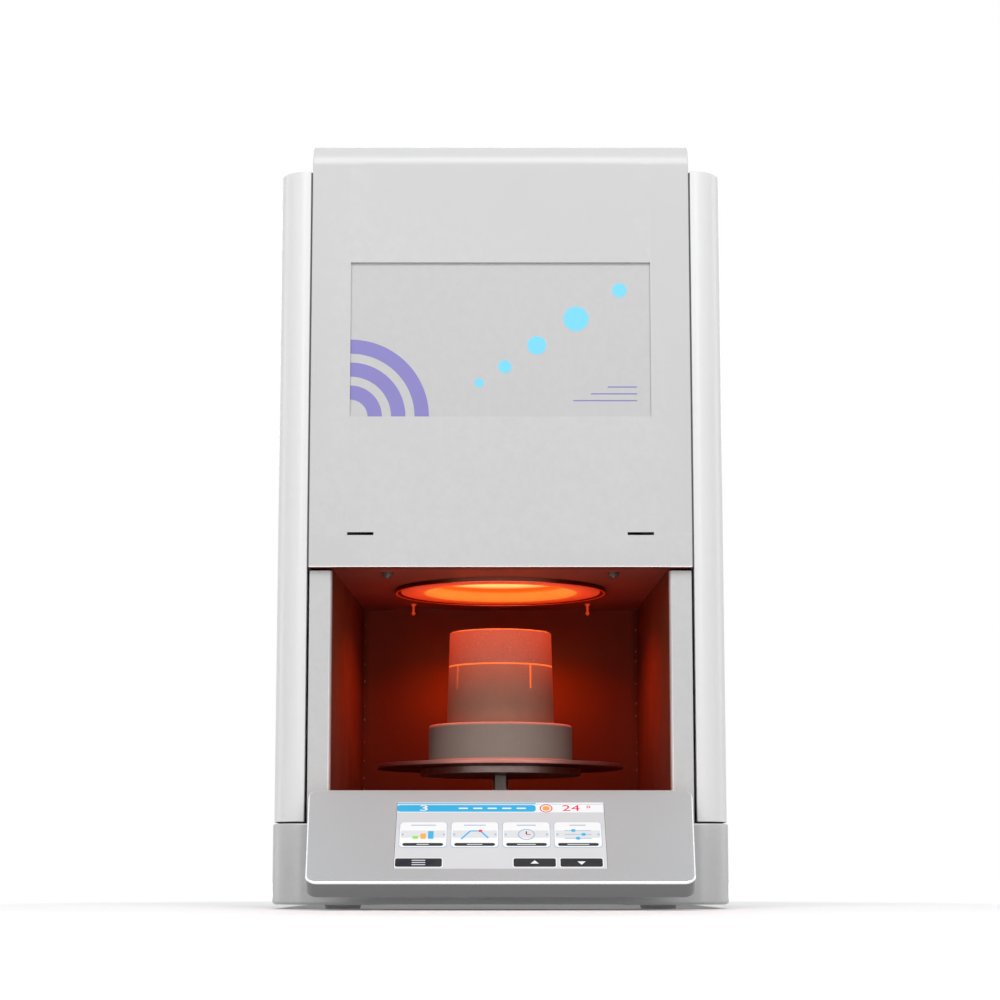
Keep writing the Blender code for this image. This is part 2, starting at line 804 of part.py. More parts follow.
def build_fan():
    half = fan_size / 2
    front = rear_inner - seat_gap - fan_depth
    outline = rectangle((-half, half), (-half, half), fan_corner)
    frame = add_part("fan_frame", outline_mesh("fan_frame", [outline, circle((0.0, 0.0), fan_bore)],
                                               (0.0, fan_depth), "XZ"), black_plastic, (0.0, front, fan_z))
    combine(frame, outline_mesh("fan_mount", [circle((0.0, 0.0), fan_hub_radius, small_sides * 2)],
                                (0.0, fan_mount_depth), "XZ"), "UNION")
    for quarter in range(2):
        strut = block_mesh("strut", (around(0.0, fan_bore + fan_strut / 2), (0.0, fan_mount_depth),
                                     around(0.0, fan_strut / 2)))
        combine(frame, moved(strut, Matrix.Rotation(math.pi / 4 + quarter * math.pi / 2, 4, "Y")), "UNION")

    rotor_front = front + fan_mount_depth + seat_gap
    hub = outline_mesh("fan_rotor", [circle((0.0, 0.0), fan_hub_radius, small_sides * 2)],
                       (0.0, fan_hub_depth), "XZ")
    rotor = add_part("fan_rotor", hub, black_plastic, (0.0, rotor_front, fan_z))
    blade_end = fan_bore - fan_tip_gap
    blade_start = fan_hub_radius - blade_thickness
    blades = []
    for index in range(blade_count):
        blade = block_mesh("blade", ((blade_start, blade_end), around(0.0, blade_thickness / 2),
                                     around(0.0, blade_chord / 2)))
        moved(blade, Matrix.Rotation(blade_pitch, 4, "X"))
        moved(blade, Matrix.Translation((0.0, fan_hub_depth / 2, 0.0)))
        blades.append(moved(blade, Matrix.Rotation(2 * math.pi * index / blade_count, 4, "Y")))
    combine(rotor, joined_mesh("fan_blades", blades), "UNION")

    guard_radius = half - fan_corner / 2
    band = (guard_radius - fan_hub_radius / 2 - guard_bar) / guard_rings
    holes = []
    for ring in range(guard_rings):
        inner = fan_hub_radius / 2 + ring * band + guard_bar / 2
        outer = fan_hub_radius / 2 + (ring + 1) * band - guard_bar / 2
        for quarter in range(4):
            start = quarter * math.pi / 2 + math.pi / 4
            trim = guard_bar / inner
            holes.append(ring_sector(inner, outer, start + trim, start + math.pi / 2 - trim))
    add_part("fan_guard", outline_mesh("fan_guard", [circle((0.0, 0.0), guard_radius)] + holes,
                                       (0.0, guard_sheet), "XZ"), dark_steel,
             (0.0, body_rear + seat_gap, fan_z))


# Compartment

def build_posts():
    for name, side in (("front_post_left", -1), ("front_post_right", 1)):
        outline = [
            (opening_half, post_rear), (opening_half, post_front),
            (post_outer, post_front), (post_outer, post_rear),
            (post_outer - sheet, post_rear), (post_outer - sheet, post_front + sheet),
            (opening_half + sheet, post_front + sheet), (opening_half + sheet, post_rear),
        ]
        post = add_part(name, outline_mesh(name, [[(side * x, y) for x, y in outline]],
                                           (floor_top + seat_gap, post_top)), post_paint)
        soften(post, fine_edge, 1)


def wall_half(y):
    """Inner half width of the compartment, which draws in a little towards the back."""
    return opening_half + wall_setback - wall_draw_in * (y - wall_front) / compartment_depth


def build_compartment():
    heights = (floor_top + seat_gap, ceiling_z - seat_gap)
    for name, side in (("compartment_wall_left", -1), ("compartment_wall_right", 1)):
        front_half = wall_half(wall_front)
        rear_half = wall_half(wall_rear)
        outline = [
            (front_half, wall_front), (front_half + wall_flange, wall_front),
            (front_half + wall_flange, wall_front + wall_sheet),
            (wall_half(wall_front + wall_sheet) + wall_sheet, wall_front + wall_sheet),
            (rear_half + wall_sheet, wall_rear), (rear_half, wall_rear),
        ]
        add_part(name, outline_mesh(name, [[(side * x, y) for x, y in outline]], heights), oxide_paint)

    back_half = wall_half(wall_rear) + wall_sheet
    slot_half = arm_thickness / 2 + arm_slot_margin
    slot_z = (carriage_z - arm_slot_margin, carriage_top + lift_travel + arm_slot_margin)
    back = [rectangle((-back_half, back_half), heights),
            rectangle((-slot_half, slot_half), slot_z, slot_half * arm_slot_end_share)]
    add_part("compartment_back", outline_mesh("compartment_back", back, (back_front, back_rear), "XZ"),
             oxide_paint)

    ceiling_half = cover_half - sheet - seat_gap
    ceiling = [rectangle((-ceiling_half, ceiling_half),
                         (body_front + sheet + seat_gap, lift_y + block_depth / 2)),
               circle((0.0, axis_y), collar_outer + seat_gap)]
    add_part("compartment_ceiling", outline_mesh("compartment_ceiling", ceiling, (ceiling_z, ceiling_top)),
             oxide_paint)


# Furnace head

def build_mouth():
    add_turned("mouth_collar", [
        (collar_outer + collar_flange, collar_top),
        (collar_outer + collar_flange, collar_top - wall_sheet),
        (collar_outer, collar_top - wall_sheet),
        (collar_outer, collar_bottom),
        (collar_inner, collar_bottom),
        (collar_inner, collar_top),
    ], stainless, (0.0, axis_y), closed=True)
    shelf = collar_top + seat_gap
    add_turned("mouth_ring", [
        (insulation_radius, ring_top),
        (insulation_radius, shelf),
        (ring_radius, shelf),
        (ring_radius, ring_bottom),
        (mouth_radius + ring_round, ring_bottom),
        (mouth_radius, ring_bottom + ring_round),
        (mouth_radius, ring_top),
    ], refractory, (0.0, axis_y), closed=True)


def leg_places():
    """Plan positions of the heating elements' legs, two for each element."""
    places = []
    for index in range(element_count):
        turn = 2 * math.pi * index / element_count
        for side in (-1, 1):
            place = Vector((element_plane, side * element_pitch / 2))
            place.rotate(Matrix.Rotation(turn, 2))
            places.append(tuple(place))
    return places


def probe_place():
    """Plan position of the thermocouple, beside one of the elements and close to the wall."""
    turn = math.pi / element_count * probe_turn_share
    return (probe_circle * math.cos(turn), probe_circle * math.sin(turn))


def drill(part, z_span, leg_radius, probe_hole):
    holes = []
    for x, y in leg_places():
        holes.append(moved(rod_mesh("leg_hole", leg_radius, z_span), Matrix.Translation((x, y, 0.0))))
    place = Matrix.Translation((*probe_place(), 0.0))
    holes.append(moved(rod_mesh("probe_hole", probe_hole, z_span), place))
    combine(part, joined_mesh(part.name + "_holes", holes))


def build_chamber():
    add_turned("chamber_wall", [
        (insulation_radius, chamber_top),
        (insulation_radius, ring_top + seat_gap),
        (chamber_radius, ring_top + seat_gap),
        (chamber_radius, chamber_top),
    ], refractory, (0.0, axis_y), closed=True)
    roof = add_part("chamber_roof", rod_mesh("chamber_roof", insulation_radius, (roof_z, roof_top),
                                             round_sides), refractory, (0.0, axis_y, 0.0))
    drill(roof, (roof_z - cut_overrun, roof_top + cut_overrun), cold_end_radius + leg_play,
          probe_radius + leg_play)
    carrier_inner = leg_circle - carrier_band / 2
    carrier_outer = leg_circle + carrier_band / 2
    carrier = add_turned("element_carrier", [
        (carrier_outer, carrier_top), (carrier_outer, carrier_z),
        (carrier_inner, carrier_z), (carrier_inner, carrier_top),
    ], alumina, (0.0, axis_y), closed=True)
    drill(carrier, (carrier_z - cut_overrun, carrier_top + cut_overrun), cold_end_radius + seat_gap,
          probe_radius + seat_gap)
    lid_under = roof_top + seat_gap
    can_opening = carrier_outer + can_opening_margin
    add_turned("furnace_can", [
        (can_outer, lid_under + wall_sheet), (can_outer, ceiling_top + seat_gap),
        (can_inner, ceiling_top + seat_gap), (can_inner, lid_under),
        (can_opening, lid_under), (can_opening, lid_under + wall_sheet),
    ], stainless, (0.0, axis_y), closed=True)


def build_elements():
    bottom = ring_top + element_foot_gap
    bend = element_pitch / 2
    step_z = chamber_top - cold_end_dip
    top = carrier_top + element_stub
    thick = cold_end_radius / element_radius
    path = [(-bend, top, thick), (-bend, step_z, thick), (-bend, step_z - cold_end_radius, 1.0)]
    for step in range(arc_steps + 1):
        turn = math.pi * step / arc_steps
        path.append((-bend * math.cos(turn), bottom + bend * (1 - math.sin(turn)), 1.0))
    path += [(bend, step_z - cold_end_radius, 1.0), (bend, step_z, thick), (bend, top, thick)]
    for index in range(element_count):
        curve = bpy.data.curves.new("heating_element", "CURVE")
        curve.dimensions = "3D"
        curve.bevel_depth = element_radius
        curve.bevel_resolution = 2
        curve.use_fill_caps = True
        spline = curve.splines.new("POLY")
        spline.points.add(len(path) - 1)
        for point, (y, z, swell) in zip(spline.points, path):
            point.co = (element_plane, y, z, 1.0)
            point.radius = swell
        curve.materials.append(silicide)
        element = bpy.data.objects.new("heating_element_" + str(index + 1), curve)
        element.location = (0.0, axis_y, 0.0)
        element.rotation_euler = (0.0, 0.0, 2 * math.pi * index / element_count)
        parts.objects.link(element)


def build_probe():
    x, y = probe_place()
    head_z = carrier_top + seat_gap
    add_turned("thermocouple", [
        (0.0, head_z + probe_head_height), (probe_head_radius, head_z + probe_head_height),
        (probe_head_radius, head_z), (probe_radius, head_z),
        (probe_radius, chamber_top - probe_reach), (0.0, chamber_top - probe_reach),
    ], alumina, (x, axis_y + y), small_sides)


# Lift table and crucible

def crucible_side(z):
    return crucible_radius - crucible_draft * (z - bowl_z) / (lid_top - bowl_z)


def build_table():
    add_turned("tray_hub", [
        (0.0, hub_top), (hub_radius, hub_top), (hub_radius, hub_z + fine_edge),
        (hub_radius - fine_edge, hub_z), (0.0, hub_z),
    ], machined, (0.0, axis_y))
    add_turned("tray_disc", [
        (0.0, tray_top), (tray_radius - fine_edge, tray_top), (tray_radius, tray_top - fine_edge),
        (tray_radius, tray_z + fine_edge), (tray_radius - fine_edge, tray_z), (0.0, tray_z),
    ], dark_steel, (0.0, axis_y))
    add_turned("furnace_plug", [
        (0.0, plug_top), (plug_radius - plug_edge, plug_top), (plug_radius, plug_top - plug_edge),
        (plug_radius, plug_z), (0.0, plug_z),
    ], refractory, (0.0, axis_y))


def build_crucible():
    bore = crucible_side(bowl_top) - crucible_wall
    bowl = add_turned("crucible_bowl", [
        (0.0, bowl_z + bowl_floor),
        (bore, bowl_z + bowl_floor),
        (bore, bowl_top),
        (crucible_side(bowl_top), bowl_top),
        (crucible_side(bowl_z), bowl_z + crucible_edge),
        (crucible_side(bowl_z) - crucible_edge, bowl_z),
        (0.0, bowl_z),
    ], alumina, (0.0, axis_y))
    notches = []
    for index in range(notch_count):
        notch = block_mesh("notch", ((bore - crucible_wall, crucible_radius + cut_overrun),
                                     around(0.0, notch_width / 2),
                                     (bowl_top - notch_depth, bowl_top + cut_overrun)))
        turn = notch_turn - math.pi / 2 + 2 * math.pi * index / notch_count
        notches.append(moved(notch, Matrix.Rotation(turn, 4, "Z")))
    combine(bowl, joined_mesh("bowl_notches", notches))
    spigot = bore - seat_gap
    inner = spigot - crucible_wall
    add_turned("crucible_lid", [
        (0.0, lid_top), (crucible_side(lid_top) - crucible_edge, lid_top),
        (crucible_side(lid_top), lid_top - crucible_edge), (crucible_side(lid_z), lid_z),
        (spigot, lid_z), (spigot, lid_z - lid_spigot), (inner, lid_z - lid_spigot),
        (inner, lid_top - lid_roof), (0.0, lid_top - lid_roof),
    ], alumina, (0.0, axis_y))


# Lift drive

def build_drive():
    low = (floor_top + seat_gap, floor_top + seat_gap + block_height)
    high = (ceiling_z - seat_gap - block_height, ceiling_z - seat_gap)
    rods = [(-rod_spacing / 2, 0.0), (rod_spacing / 2, 0.0)]
    for name, span, screw_hole in (("lower_bearing_block", low, screw_radius + seat_gap),
                                   ("upper_bearing_block", high, screw_radius + seat_gap),
                                   ("lift_carriage", (carriage_z, carriage_top), nut_radius + seat_gap)):
        outline = rectangle(around(0.0, block_width / 2), around(0.0, block_depth / 2), block_edge, 2)
        holes = [circle(place, rod_radius + seat_gap, small_sides) for place in rods]
        holes.append(circle((0.0, 0.0), screw_hole, small_sides))
        add_part(name, outline_mesh(name, [outline] + holes, span), machined, (0.0, lift_y, 0.0))
    for name, side in (("guide_rod_left", -1), ("guide_rod_right", 1)):
        rod = add_part(name, rod_mesh(name, rod_radius, (low[0], high[1])), stainless,
                       (side * rod_spacing / 2, lift_y, 0.0))
        smooth(rod)
    nut_top = carriage_top + seat_gap + nut_flange
    add_turned("carriage_nut", [
        (nut_flange_radius, nut_top), (nut_flange_radius, carriage_top + seat_gap),
        (nut_radius, carriage_top + seat_gap), (nut_radius, carriage_z),
        (screw_radius + seat_gap, carriage_z), (screw_radius + seat_gap, nut_top),
    ], bronze, (0.0, lift_y), small_sides, closed=True)
    screw = add_part("lead_screw", rod_mesh("lead_screw", screw_radius, (
        coupling_middle + seat_gap, high[1])), stainless, (0.0, lift_y, 0.0))
    smooth(screw)
    add_turned("shaft_coupling", [
        (coupling_radius, coupling_top), (coupling_radius, coupling_z),
        (motor_shaft_radius + seat_gap, coupling_z), (motor_shaft_radius + seat_gap, coupling_middle),
        (screw_radius + seat_gap, coupling_middle), (screw_radius + seat_gap, coupling_top),
    ], machined, (0.0, lift_y), small_sides, closed=True)
    shaft = add_part("motor_shaft", rod_mesh("motor_shaft", motor_shaft_radius, (
        motor_top - shaft_socket, coupling_middle)), stainless, (0.0, lift_y, 0.0))
    smooth(shaft)
    motor = add_part("lift_motor", outline_mesh("lift_motor", [rectangle(
        around(0.0, motor_width / 2), around(0.0, motor_width / 2), motor_corner, 2)],
        (base_plate_top + seat_gap, motor_top)), dark_steel, (0.0, lift_y, 0.0))
    combine(motor, rod_mesh("motor_bore", motor_shaft_radius + seat_gap, (
        motor_top - shaft_socket - seat_gap, motor_top + cut_overrun)))
    arm_root = lift_y - block_depth / 2 - seat_gap
    shoulder = back_front - arm_shoulder_gap
    nose = axis_y - arm_nose
    arm_top = hub_z - seat_gap
    outline = [
        (nose, arm_top - arm_nose_height), (shoulder, carriage_z), (arm_root, carriage_z),
        (arm_root, carriage_top), (shoulder, carriage_top),
        (axis_y + arm_nose, arm_top), (nose, arm_top),
    ]
    arm = add_part("lift_arm", outline_mesh("lift_arm", [outline], around(0.0, arm_thickness / 2), "YZ"),
                   dark_steel)
    soften(arm, fine_edge, 1)


# Control panel

def panel_outline(inset):
    """The slanted face: a rounded tapering plate, x across and y up the slope."""
    reach = panel_length / 2 - inset
    return rounded_outline([
        (-panel_foot_half + inset, -reach, panel_corner - inset),
        (panel_foot_half - inset, -reach, panel_corner - inset),
        (panel_top_half - inset, reach, panel_corner - inset),
        (-panel_top_half + inset, reach, panel_corner - inset),
    ])


def build_panel():
    place = (0.0, panel_middle_y, panel_middle_z)
    tilt = (panel_slope, 0.0, 0.0)
    shell = add_part("panel_shell", outline_mesh("panel_shell", [panel_outline(0.0)], (
        -panel_thickness, 0.0)), panel_paint, place, tilt)
    soften(shell, panel_edge)
    combine(shell, outline_mesh("panel_pocket", [panel_outline(panel_wall)],
                                (-panel_thickness - cut_overrun, -panel_wall)))
    window = (around(0.0, screen_half + seat_gap),
              around(screen_offset, screen_length / 2 + seat_gap))
    combine(shell, block_mesh("panel_window", (*window, (-panel_wall - cut_overrun, cut_overrun))))

    glass_back = -screen_recess - glass_thickness
    glass = add_part("screen_glass", block_mesh("screen_glass", (
        around(0.0, screen_half), around(screen_offset, screen_length / 2),
        (glass_back, -screen_recess))), dark_glass, place, tilt)
    soften(glass, fine_edge / 2, 1)
    bezel_front = -panel_wall - seat_gap
    bezel_back = bezel_front - bezel_thickness
    outer = rectangle(around(0.0, screen_half + bezel_lap),
                      around(screen_offset, screen_length / 2 + bezel_lap), panel_edge, 2)
    inner = rectangle(*window)
    add_part("screen_bezel", outline_mesh("screen_bezel", [outer, inner], (bezel_back, bezel_front)),
             black_plastic, place, tilt)
    board_front = bezel_back - seat_gap
    board_back = board_front - board_thickness
    board_half = screen_half + bezel_lap
    board_reach = screen_length / 2 + bezel_lap - board_inset / 2
    board = add_part("controller_board", block_mesh("controller_board", (
        around(0.0, board_half), around(screen_offset, board_reach), (board_back, board_front))),
        circuit_green, place, tilt)
    chips = []
    for share_x, share_y, share_size in chip_shares:
        side = board_reach * share_size
        chips.append(block_mesh("chip", (around(board_half * share_x, side),
                                         around(screen_offset + board_reach * share_y, side),
                                         (board_back - chip_height, board_back + board_thickness / 2))))
    combine(board, joined_mesh("chips", chips), "UNION")
    build_back_cover()


def build_back_cover():
    """Closes the slanted housing from behind and joins it to the base by a hollow neck."""
    place = Matrix.Translation((0.0, panel_middle_y, panel_middle_z)) @ Matrix.Rotation(panel_slope, 4, "X")
    inside = panel_wall + seat_gap
    lid = outline_mesh("panel_back_cover", [panel_outline(inside)],
                       (-panel_thickness, sheet - panel_thickness))
    cover = add_part("panel_back_cover", moved(lid, place), panel_paint)

    slope = panel_rise / panel_run
    depth = panel_thickness - sheet / 2
    foot_y = body_front - panel_standoff - panel_run + depth * math.sin(panel_slope)
    foot_z = panel_foot_z - depth * math.cos(panel_slope)
    rear = body_front - seat_gap
    bottom = foot_z + neck_foot_rise
    top = base_rim_z - neck_top_drop
    half = panel_foot_half - neck_inset

    def housing_y(z):
        return foot_y + (z - foot_z) / slope

    outline = [(housing_y(bottom), bottom), (housing_y(top), top), (rear, top), (rear, bottom)]
    combine(cover, outline_mesh("panel_neck", [outline], (-half, half), "YZ"), "UNION")
    low = bottom + panel_wall
    high = top - panel_wall
    reach = cut_overrun / slope
    hollow = [(housing_y(low) - reach, low), (housing_y(high) - reach, high),
              (rear + cut_overrun, high), (rear + cut_overrun, low)]
    combine(cover, outline_mesh("neck_hollow", [hollow], (panel_wall - half, half - panel_wall), "YZ"))


# Electrical parts in the base

def base_place(share):
    return (base_half * share[0], body_front + body_depth * share[1])


def build_base_parts():
    space = floor_bottom - base_plate_top
    low = base_plate_top + seat_gap
    top = low + space * transformer_height_share
    middle = (low + top) / 2
    half_height = (top - low) / 2
    profile = []
    outer = transformer_radius - transformer_round
    inner = transformer_bore + transformer_round
    for centre, start in ((outer, math.pi / 2), (outer, 0.0), (inner, -math.pi / 2), (inner, -math.pi)):
        level = half_height - transformer_round
        sign = 1 if math.sin(start - math.pi / 8) > 0 else -1
        for step in range(corner_steps):
            turn = start - math.pi / 2 * step / (corner_steps - 1)
            profile.append((centre + transformer_round * math.cos(turn),
                            middle + sign * level + transformer_round * math.sin(turn)))
    add_turned("transformer", profile, copper, base_place(transformer_place_share), torus_sides,
               closed=True)

    height = space * sink_height_share
    pitch = (sink_width - sink_fin) / (sink_fins - 1)
    outline = [(-sink_width / 2, low), (sink_width / 2, low)]
    for fin in reversed(range(sink_fins)):
        left = -sink_width / 2 + fin * pitch
        outline += [(left + sink_fin, low + sink_floor), (left + sink_fin, low + height),
                    (left, low + height), (left, low + sink_floor)]
    outline = [outline[0], outline[1]] + outline[3:-1]
    x, y = base_place(sink_place_share)
    add_part("relay_heat_sink", outline_mesh("relay_heat_sink", [outline], around(0.0, sink_length / 2),
                                             "XZ"), machined, (x, y, 0.0))


build_base()
build_side_covers()
build_front_cover()
build_top_cover()
build_rear_cover()
build_fan()
build_posts()
build_compartment()
build_mouth()
build_chamber()
build_elements()
build_probe()
build_table()
build_crucible()
build_drive()
build_panel()
build_base_parts()
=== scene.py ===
import json
import math
import random

import bmesh
import bpy
from mathutils import Matrix, Vector

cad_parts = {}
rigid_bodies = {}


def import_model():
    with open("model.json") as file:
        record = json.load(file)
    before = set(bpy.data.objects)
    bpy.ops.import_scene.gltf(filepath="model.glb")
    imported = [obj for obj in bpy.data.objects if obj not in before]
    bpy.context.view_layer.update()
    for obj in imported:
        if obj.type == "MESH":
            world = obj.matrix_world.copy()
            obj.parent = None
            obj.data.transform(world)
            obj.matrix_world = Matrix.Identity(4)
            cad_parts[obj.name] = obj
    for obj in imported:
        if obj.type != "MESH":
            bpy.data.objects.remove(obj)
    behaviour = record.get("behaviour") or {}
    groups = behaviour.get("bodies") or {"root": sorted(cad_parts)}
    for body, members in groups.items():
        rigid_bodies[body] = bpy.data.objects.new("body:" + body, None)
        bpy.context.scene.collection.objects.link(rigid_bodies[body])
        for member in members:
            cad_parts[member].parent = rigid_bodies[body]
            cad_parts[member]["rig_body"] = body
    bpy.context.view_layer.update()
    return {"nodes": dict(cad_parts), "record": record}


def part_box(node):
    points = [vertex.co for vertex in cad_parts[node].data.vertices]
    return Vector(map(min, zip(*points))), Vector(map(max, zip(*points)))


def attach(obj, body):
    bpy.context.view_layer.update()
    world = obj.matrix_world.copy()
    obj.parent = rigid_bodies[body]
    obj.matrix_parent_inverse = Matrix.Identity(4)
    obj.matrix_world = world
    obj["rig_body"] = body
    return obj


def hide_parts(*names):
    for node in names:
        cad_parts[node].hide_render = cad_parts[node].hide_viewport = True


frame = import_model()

scene = bpy.context.scene
scene.view_settings.view_transform = "Standard"
looks = bpy.data.collections.new("furnaceLooks")
scene.collection.children.link(looks)

tiny = 0.000001
flat = 0.99   # a face looks along an axis when its normal does so by this share
black = (0.0, 0.0, 0.0)
# the furnace, table and crucible share one upright axis
axisY = sum(corner.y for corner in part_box("mouth_ring")) / 2
furnaceAxis = Matrix.Translation((0.0, axisY, 0.0))
screwY = 0.2384
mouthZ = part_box("mouth_ring")[0].z
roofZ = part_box("chamber_roof")[0].z
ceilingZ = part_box("compartment_ceiling")[0].z
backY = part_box("compartment_back")[0].y
pieceCount = 0
replacedNodes = set()


# Node helpers

def plug(tree, value, socket):
    # a number or a colour is set on the socket, an output is linked to it
    if isinstance(value, tuple):
        socket.default_value = (*value, 1.0)
    elif isinstance(value, (int, float)):
        socket.default_value = value
    else:
        tree.links.new(value, socket)


def addNode(tree, kind, values=None, **settings):
    node = tree.nodes.new(kind)
    for name, value in settings.items():
        setattr(node, name, value)
    for name, value in (values or {}).items():
        plug(tree, value, node.inputs[name])
    return node


def maths(tree, operation, *values):
    node = addNode(tree, "ShaderNodeMath", dict(enumerate(values)), operation=operation)
    return node.outputs["Value"]


def product(tree, result, *factors):
    for factor in factors:
        result = maths(tree, "MULTIPLY", result, factor)
    return result


def remap(tree, source, low, high, start=0.0, end=1.0, smooth=False):
    values = {"Value": source, "From Min": low, "From Max": high, "To Min": start, "To Max": end}
    curve = "SMOOTHSTEP" if smooth else "LINEAR"
    return addNode(tree, "ShaderNodeMapRange", values, interpolation_type=curve).outputs["Result"]


def fall(tree, source, low, high, smooth=False):
    return remap(tree, source, low, high, 1.0, 0.0, smooth)


def mixColours(tree, factor, first, second, mode="MIX"):
    values = {0: factor, 6: first, 7: second}   # the places of the colour sockets
    return addNode(tree, "ShaderNodeMix", values, data_type="RGBA", blend_type=mode).outputs[2]


def colourSteps(tree, factor, steps):
    ramp = addNode(tree, "ShaderNodeValToRGB", {"Fac": factor})
    elements = ramp.color_ramp.elements
    while len(elements) < len(steps):
        elements.new(0.5)
    for element, (place, colour) in zip(elements, steps):
        element.position = place
        element.color = (*colour, 1.0)
    return ramp.outputs["Color"]


def noiseIn(tree, place, scale, detail=2.0, roughness=0.5, dimensions="3D"):
    values = {"Vector": place, "Scale": scale, "Detail": detail, "Roughness": roughness}
    return addNode(tree, "ShaderNodeTexNoise", values, noise_dimensions=dimensions).outputs["Fac"]


def objectPlace(tree):
    return addNode(tree, "ShaderNodeTexCoord").outputs["Object"]


def splitVector(tree, vector):
    return addNode(tree, "ShaderNodeSeparateXYZ", {"Vector": vector}).outputs


def axisPlace(tree, centreY):
    # the distance from an upright axis, and the height
    place = splitVector(tree, objectPlace(tree))
    across = maths(tree, "SUBTRACT", place["Y"], centreY)
    squares = [product(tree, side, side) for side in (place["X"], across)]
    return maths(tree, "SQRT", maths(tree, "ADD", *squares)), place["Z"]


# Effects that several finishes share

def paintGrain(tree, given):
    place = objectPlace(tree)
    return {"Height": noiseIn(tree, place, given["Scale"], 3.0, 0.6),
            "Tone": noiseIn(tree, place, given["Patch"], 4.0, 0.55)}


def ceramicGrain(tree, given):
    place, scale = objectPlace(tree), given["Scale"]
    cells = addNode(tree, "ShaderNodeTexVoronoi", {"Vector": place, "Scale": scale}, feature="F1")
    pits = remap(tree, cells.outputs["Distance"], 0.0, 0.35)
    flecks = noiseIn(tree, place, product(tree, scale, 0.8), 1.0)
    return {"Height": product(tree, noiseIn(tree, place, scale, 5.0, 0.7), pits),
            "Tone": noiseIn(tree, place, product(tree, scale, 0.06), 5.0, 0.65),
            "Fleck": remap(tree, flecks, 0.66, 0.74)}


def turnedLines(tree, given):
    radius, height = axisPlace(tree, given["Centre Y"])
    track = addNode(tree, "ShaderNodeCombineXYZ", {"X": radius, "Y": height}).outputs["Vector"]
    broad = product(tree, given["Scale"], 0.1)
    return {"Height": noiseIn(tree, track, given["Scale"], 2.0, 0.6, "2D"),
            "Tone": noiseIn(tree, track, broad, dimensions="2D")}


def brushedLines(tree, given):
    stretch = {"X": 1.0, "Y": given["Stretch"], "Z": given["Stretch"]}
    values = {"Vector": objectPlace(tree),
              "Scale": addNode(tree, "ShaderNodeCombineXYZ", stretch).outputs["Vector"]}
    place = addNode(tree, "ShaderNodeMapping", values, vector_type="POINT").outputs["Vector"]
    return {"Height": noiseIn(tree, place, given["Scale"], 3.0, 0.6),
            "Tone": noiseIn(tree, place, product(tree, given["Scale"], 0.2))}


def edgeRub(tree, given):
    # wear and painted highlight: rounded edges are made lighter, as rubbed paint or metal and as
    # the light that edges catch
    edge = remap(tree, addNode(tree, "ShaderNodeNewGeometry").outputs["Pointiness"], 0.51, 0.58)
    broken = remap(tree, noiseIn(tree, objectPlace(tree), 120.0, 4.0, 0.7), 0.35, 0.65)
    return {"Mask": product(tree, edge, broken, given["Amount"])}


def settledDust(tree, given):
    normal = splitVector(tree, addNode(tree, "ShaderNodeNewGeometry").outputs["Normal"])
    upward = remap(tree, normal["Z"], 0.6, 1.0)
    patches = remap(tree, noiseIn(tree, objectPlace(tree), 35.0, 5.0, 0.65), 0.4, 0.75)
    return {"Mask": product(tree, upward, patches, given["Amount"])}


def furnacePlace(tree, given):
    radius, height = axisPlace(tree, given["Centre Y"])
    return {"Radius": radius, "Height": height}


def shareEffect(name, build, inputs):
    group = bpy.data.node_groups.new(name, "ShaderNodeTree")

    def addSocket(label, side):
        return group.interface.new_socket(name=label, in_out=side, socket_type="NodeSocketFloat")

    for label, value in inputs.items():
        addSocket(label, "INPUT").default_value = value
    outputs = build(group, group.nodes.new("NodeGroupInput").outputs)
    for label in outputs:
        addSocket(label, "OUTPUT")
    result = group.nodes.new("NodeGroupOutput").inputs
    for label, value in outputs.items():
        plug(group, value, result[label])
    return group


effects = {
    "paint": shareEffect("paintGrain", paintGrain, {"Scale": 900.0, "Patch": 7.0}),
    "ceramic": shareEffect("ceramicGrain", ceramicGrain, {"Scale": 500.0}),
    "turned": shareEffect("turnedLines", turnedLines, {"Scale": 1500.0, "Centre Y": 0.0}),
    "brushed": shareEffect("brushedLines", brushedLines, {"Scale": 60.0, "Stretch": 30.0}),
    "rub": shareEffect("edgeRub", edgeRub, {"Amount": 0.5}),
    "dust": shareEffect("settledDust", settledDust, {"Amount": 0.2}),
    "place": shareEffect("furnacePlace", furnacePlace, {"Centre Y": 0.0}),
}


def effect(tree, name, **values):
    node = addNode(tree, "ShaderNodeGroup", node_tree=effects[name])
    for label, value in values.items():
        plug(tree, value, node.inputs[label.replace("_", " ")])
    return node.outputs


# Finishes

finishes = {}


def newFinish(name, roughness, metallic=0.0, **sockets):
    finishes[name] = bpy.data.materials.new(name)
    finishes[name].use_nodes = True
    tree = finishes[name].node_tree
    shader = tree.nodes["Principled BSDF"]
    for label, value in {"Roughness": roughness, "Metallic": metallic, **sockets}.items():
        plug(tree, value, shader.inputs[label.replace("_", " ")])
    return tree, shader


def surface(tree, shader, colour, height, strength, depth, rough=None):
    # the colour, the bump and, where given, an uneven roughness: its source, low and high
    plug(tree, colour, shader.inputs["Base Color"])
    if rough:
        source, low, high = rough
        plug(tree, remap(tree, source, 0.3, 0.7, low, high), shader.inputs["Roughness"])
    values = {"Height": height, "Strength": strength, "Distance": depth}
    bump = addNode(tree, "ShaderNodeBump", values)
    plug(tree, bump.outputs["Normal"], shader.inputs["Normal"])


def glowWith(tree, shader, heat, colour, cold=black):
    plug(tree, mixColours(tree, heat, cold, colour), shader.inputs["Emission Color"])
    plug(tree, 1.0, shader.inputs["Emission Strength"])


def scaled(colour, amount):
    return tuple(min(1.0, channel * amount) for channel in colour)


coatTones = {"dark": 0.975, "light": 1.02, "worn": 1.12, "dust": (0.52, 0.50, 0.47)}


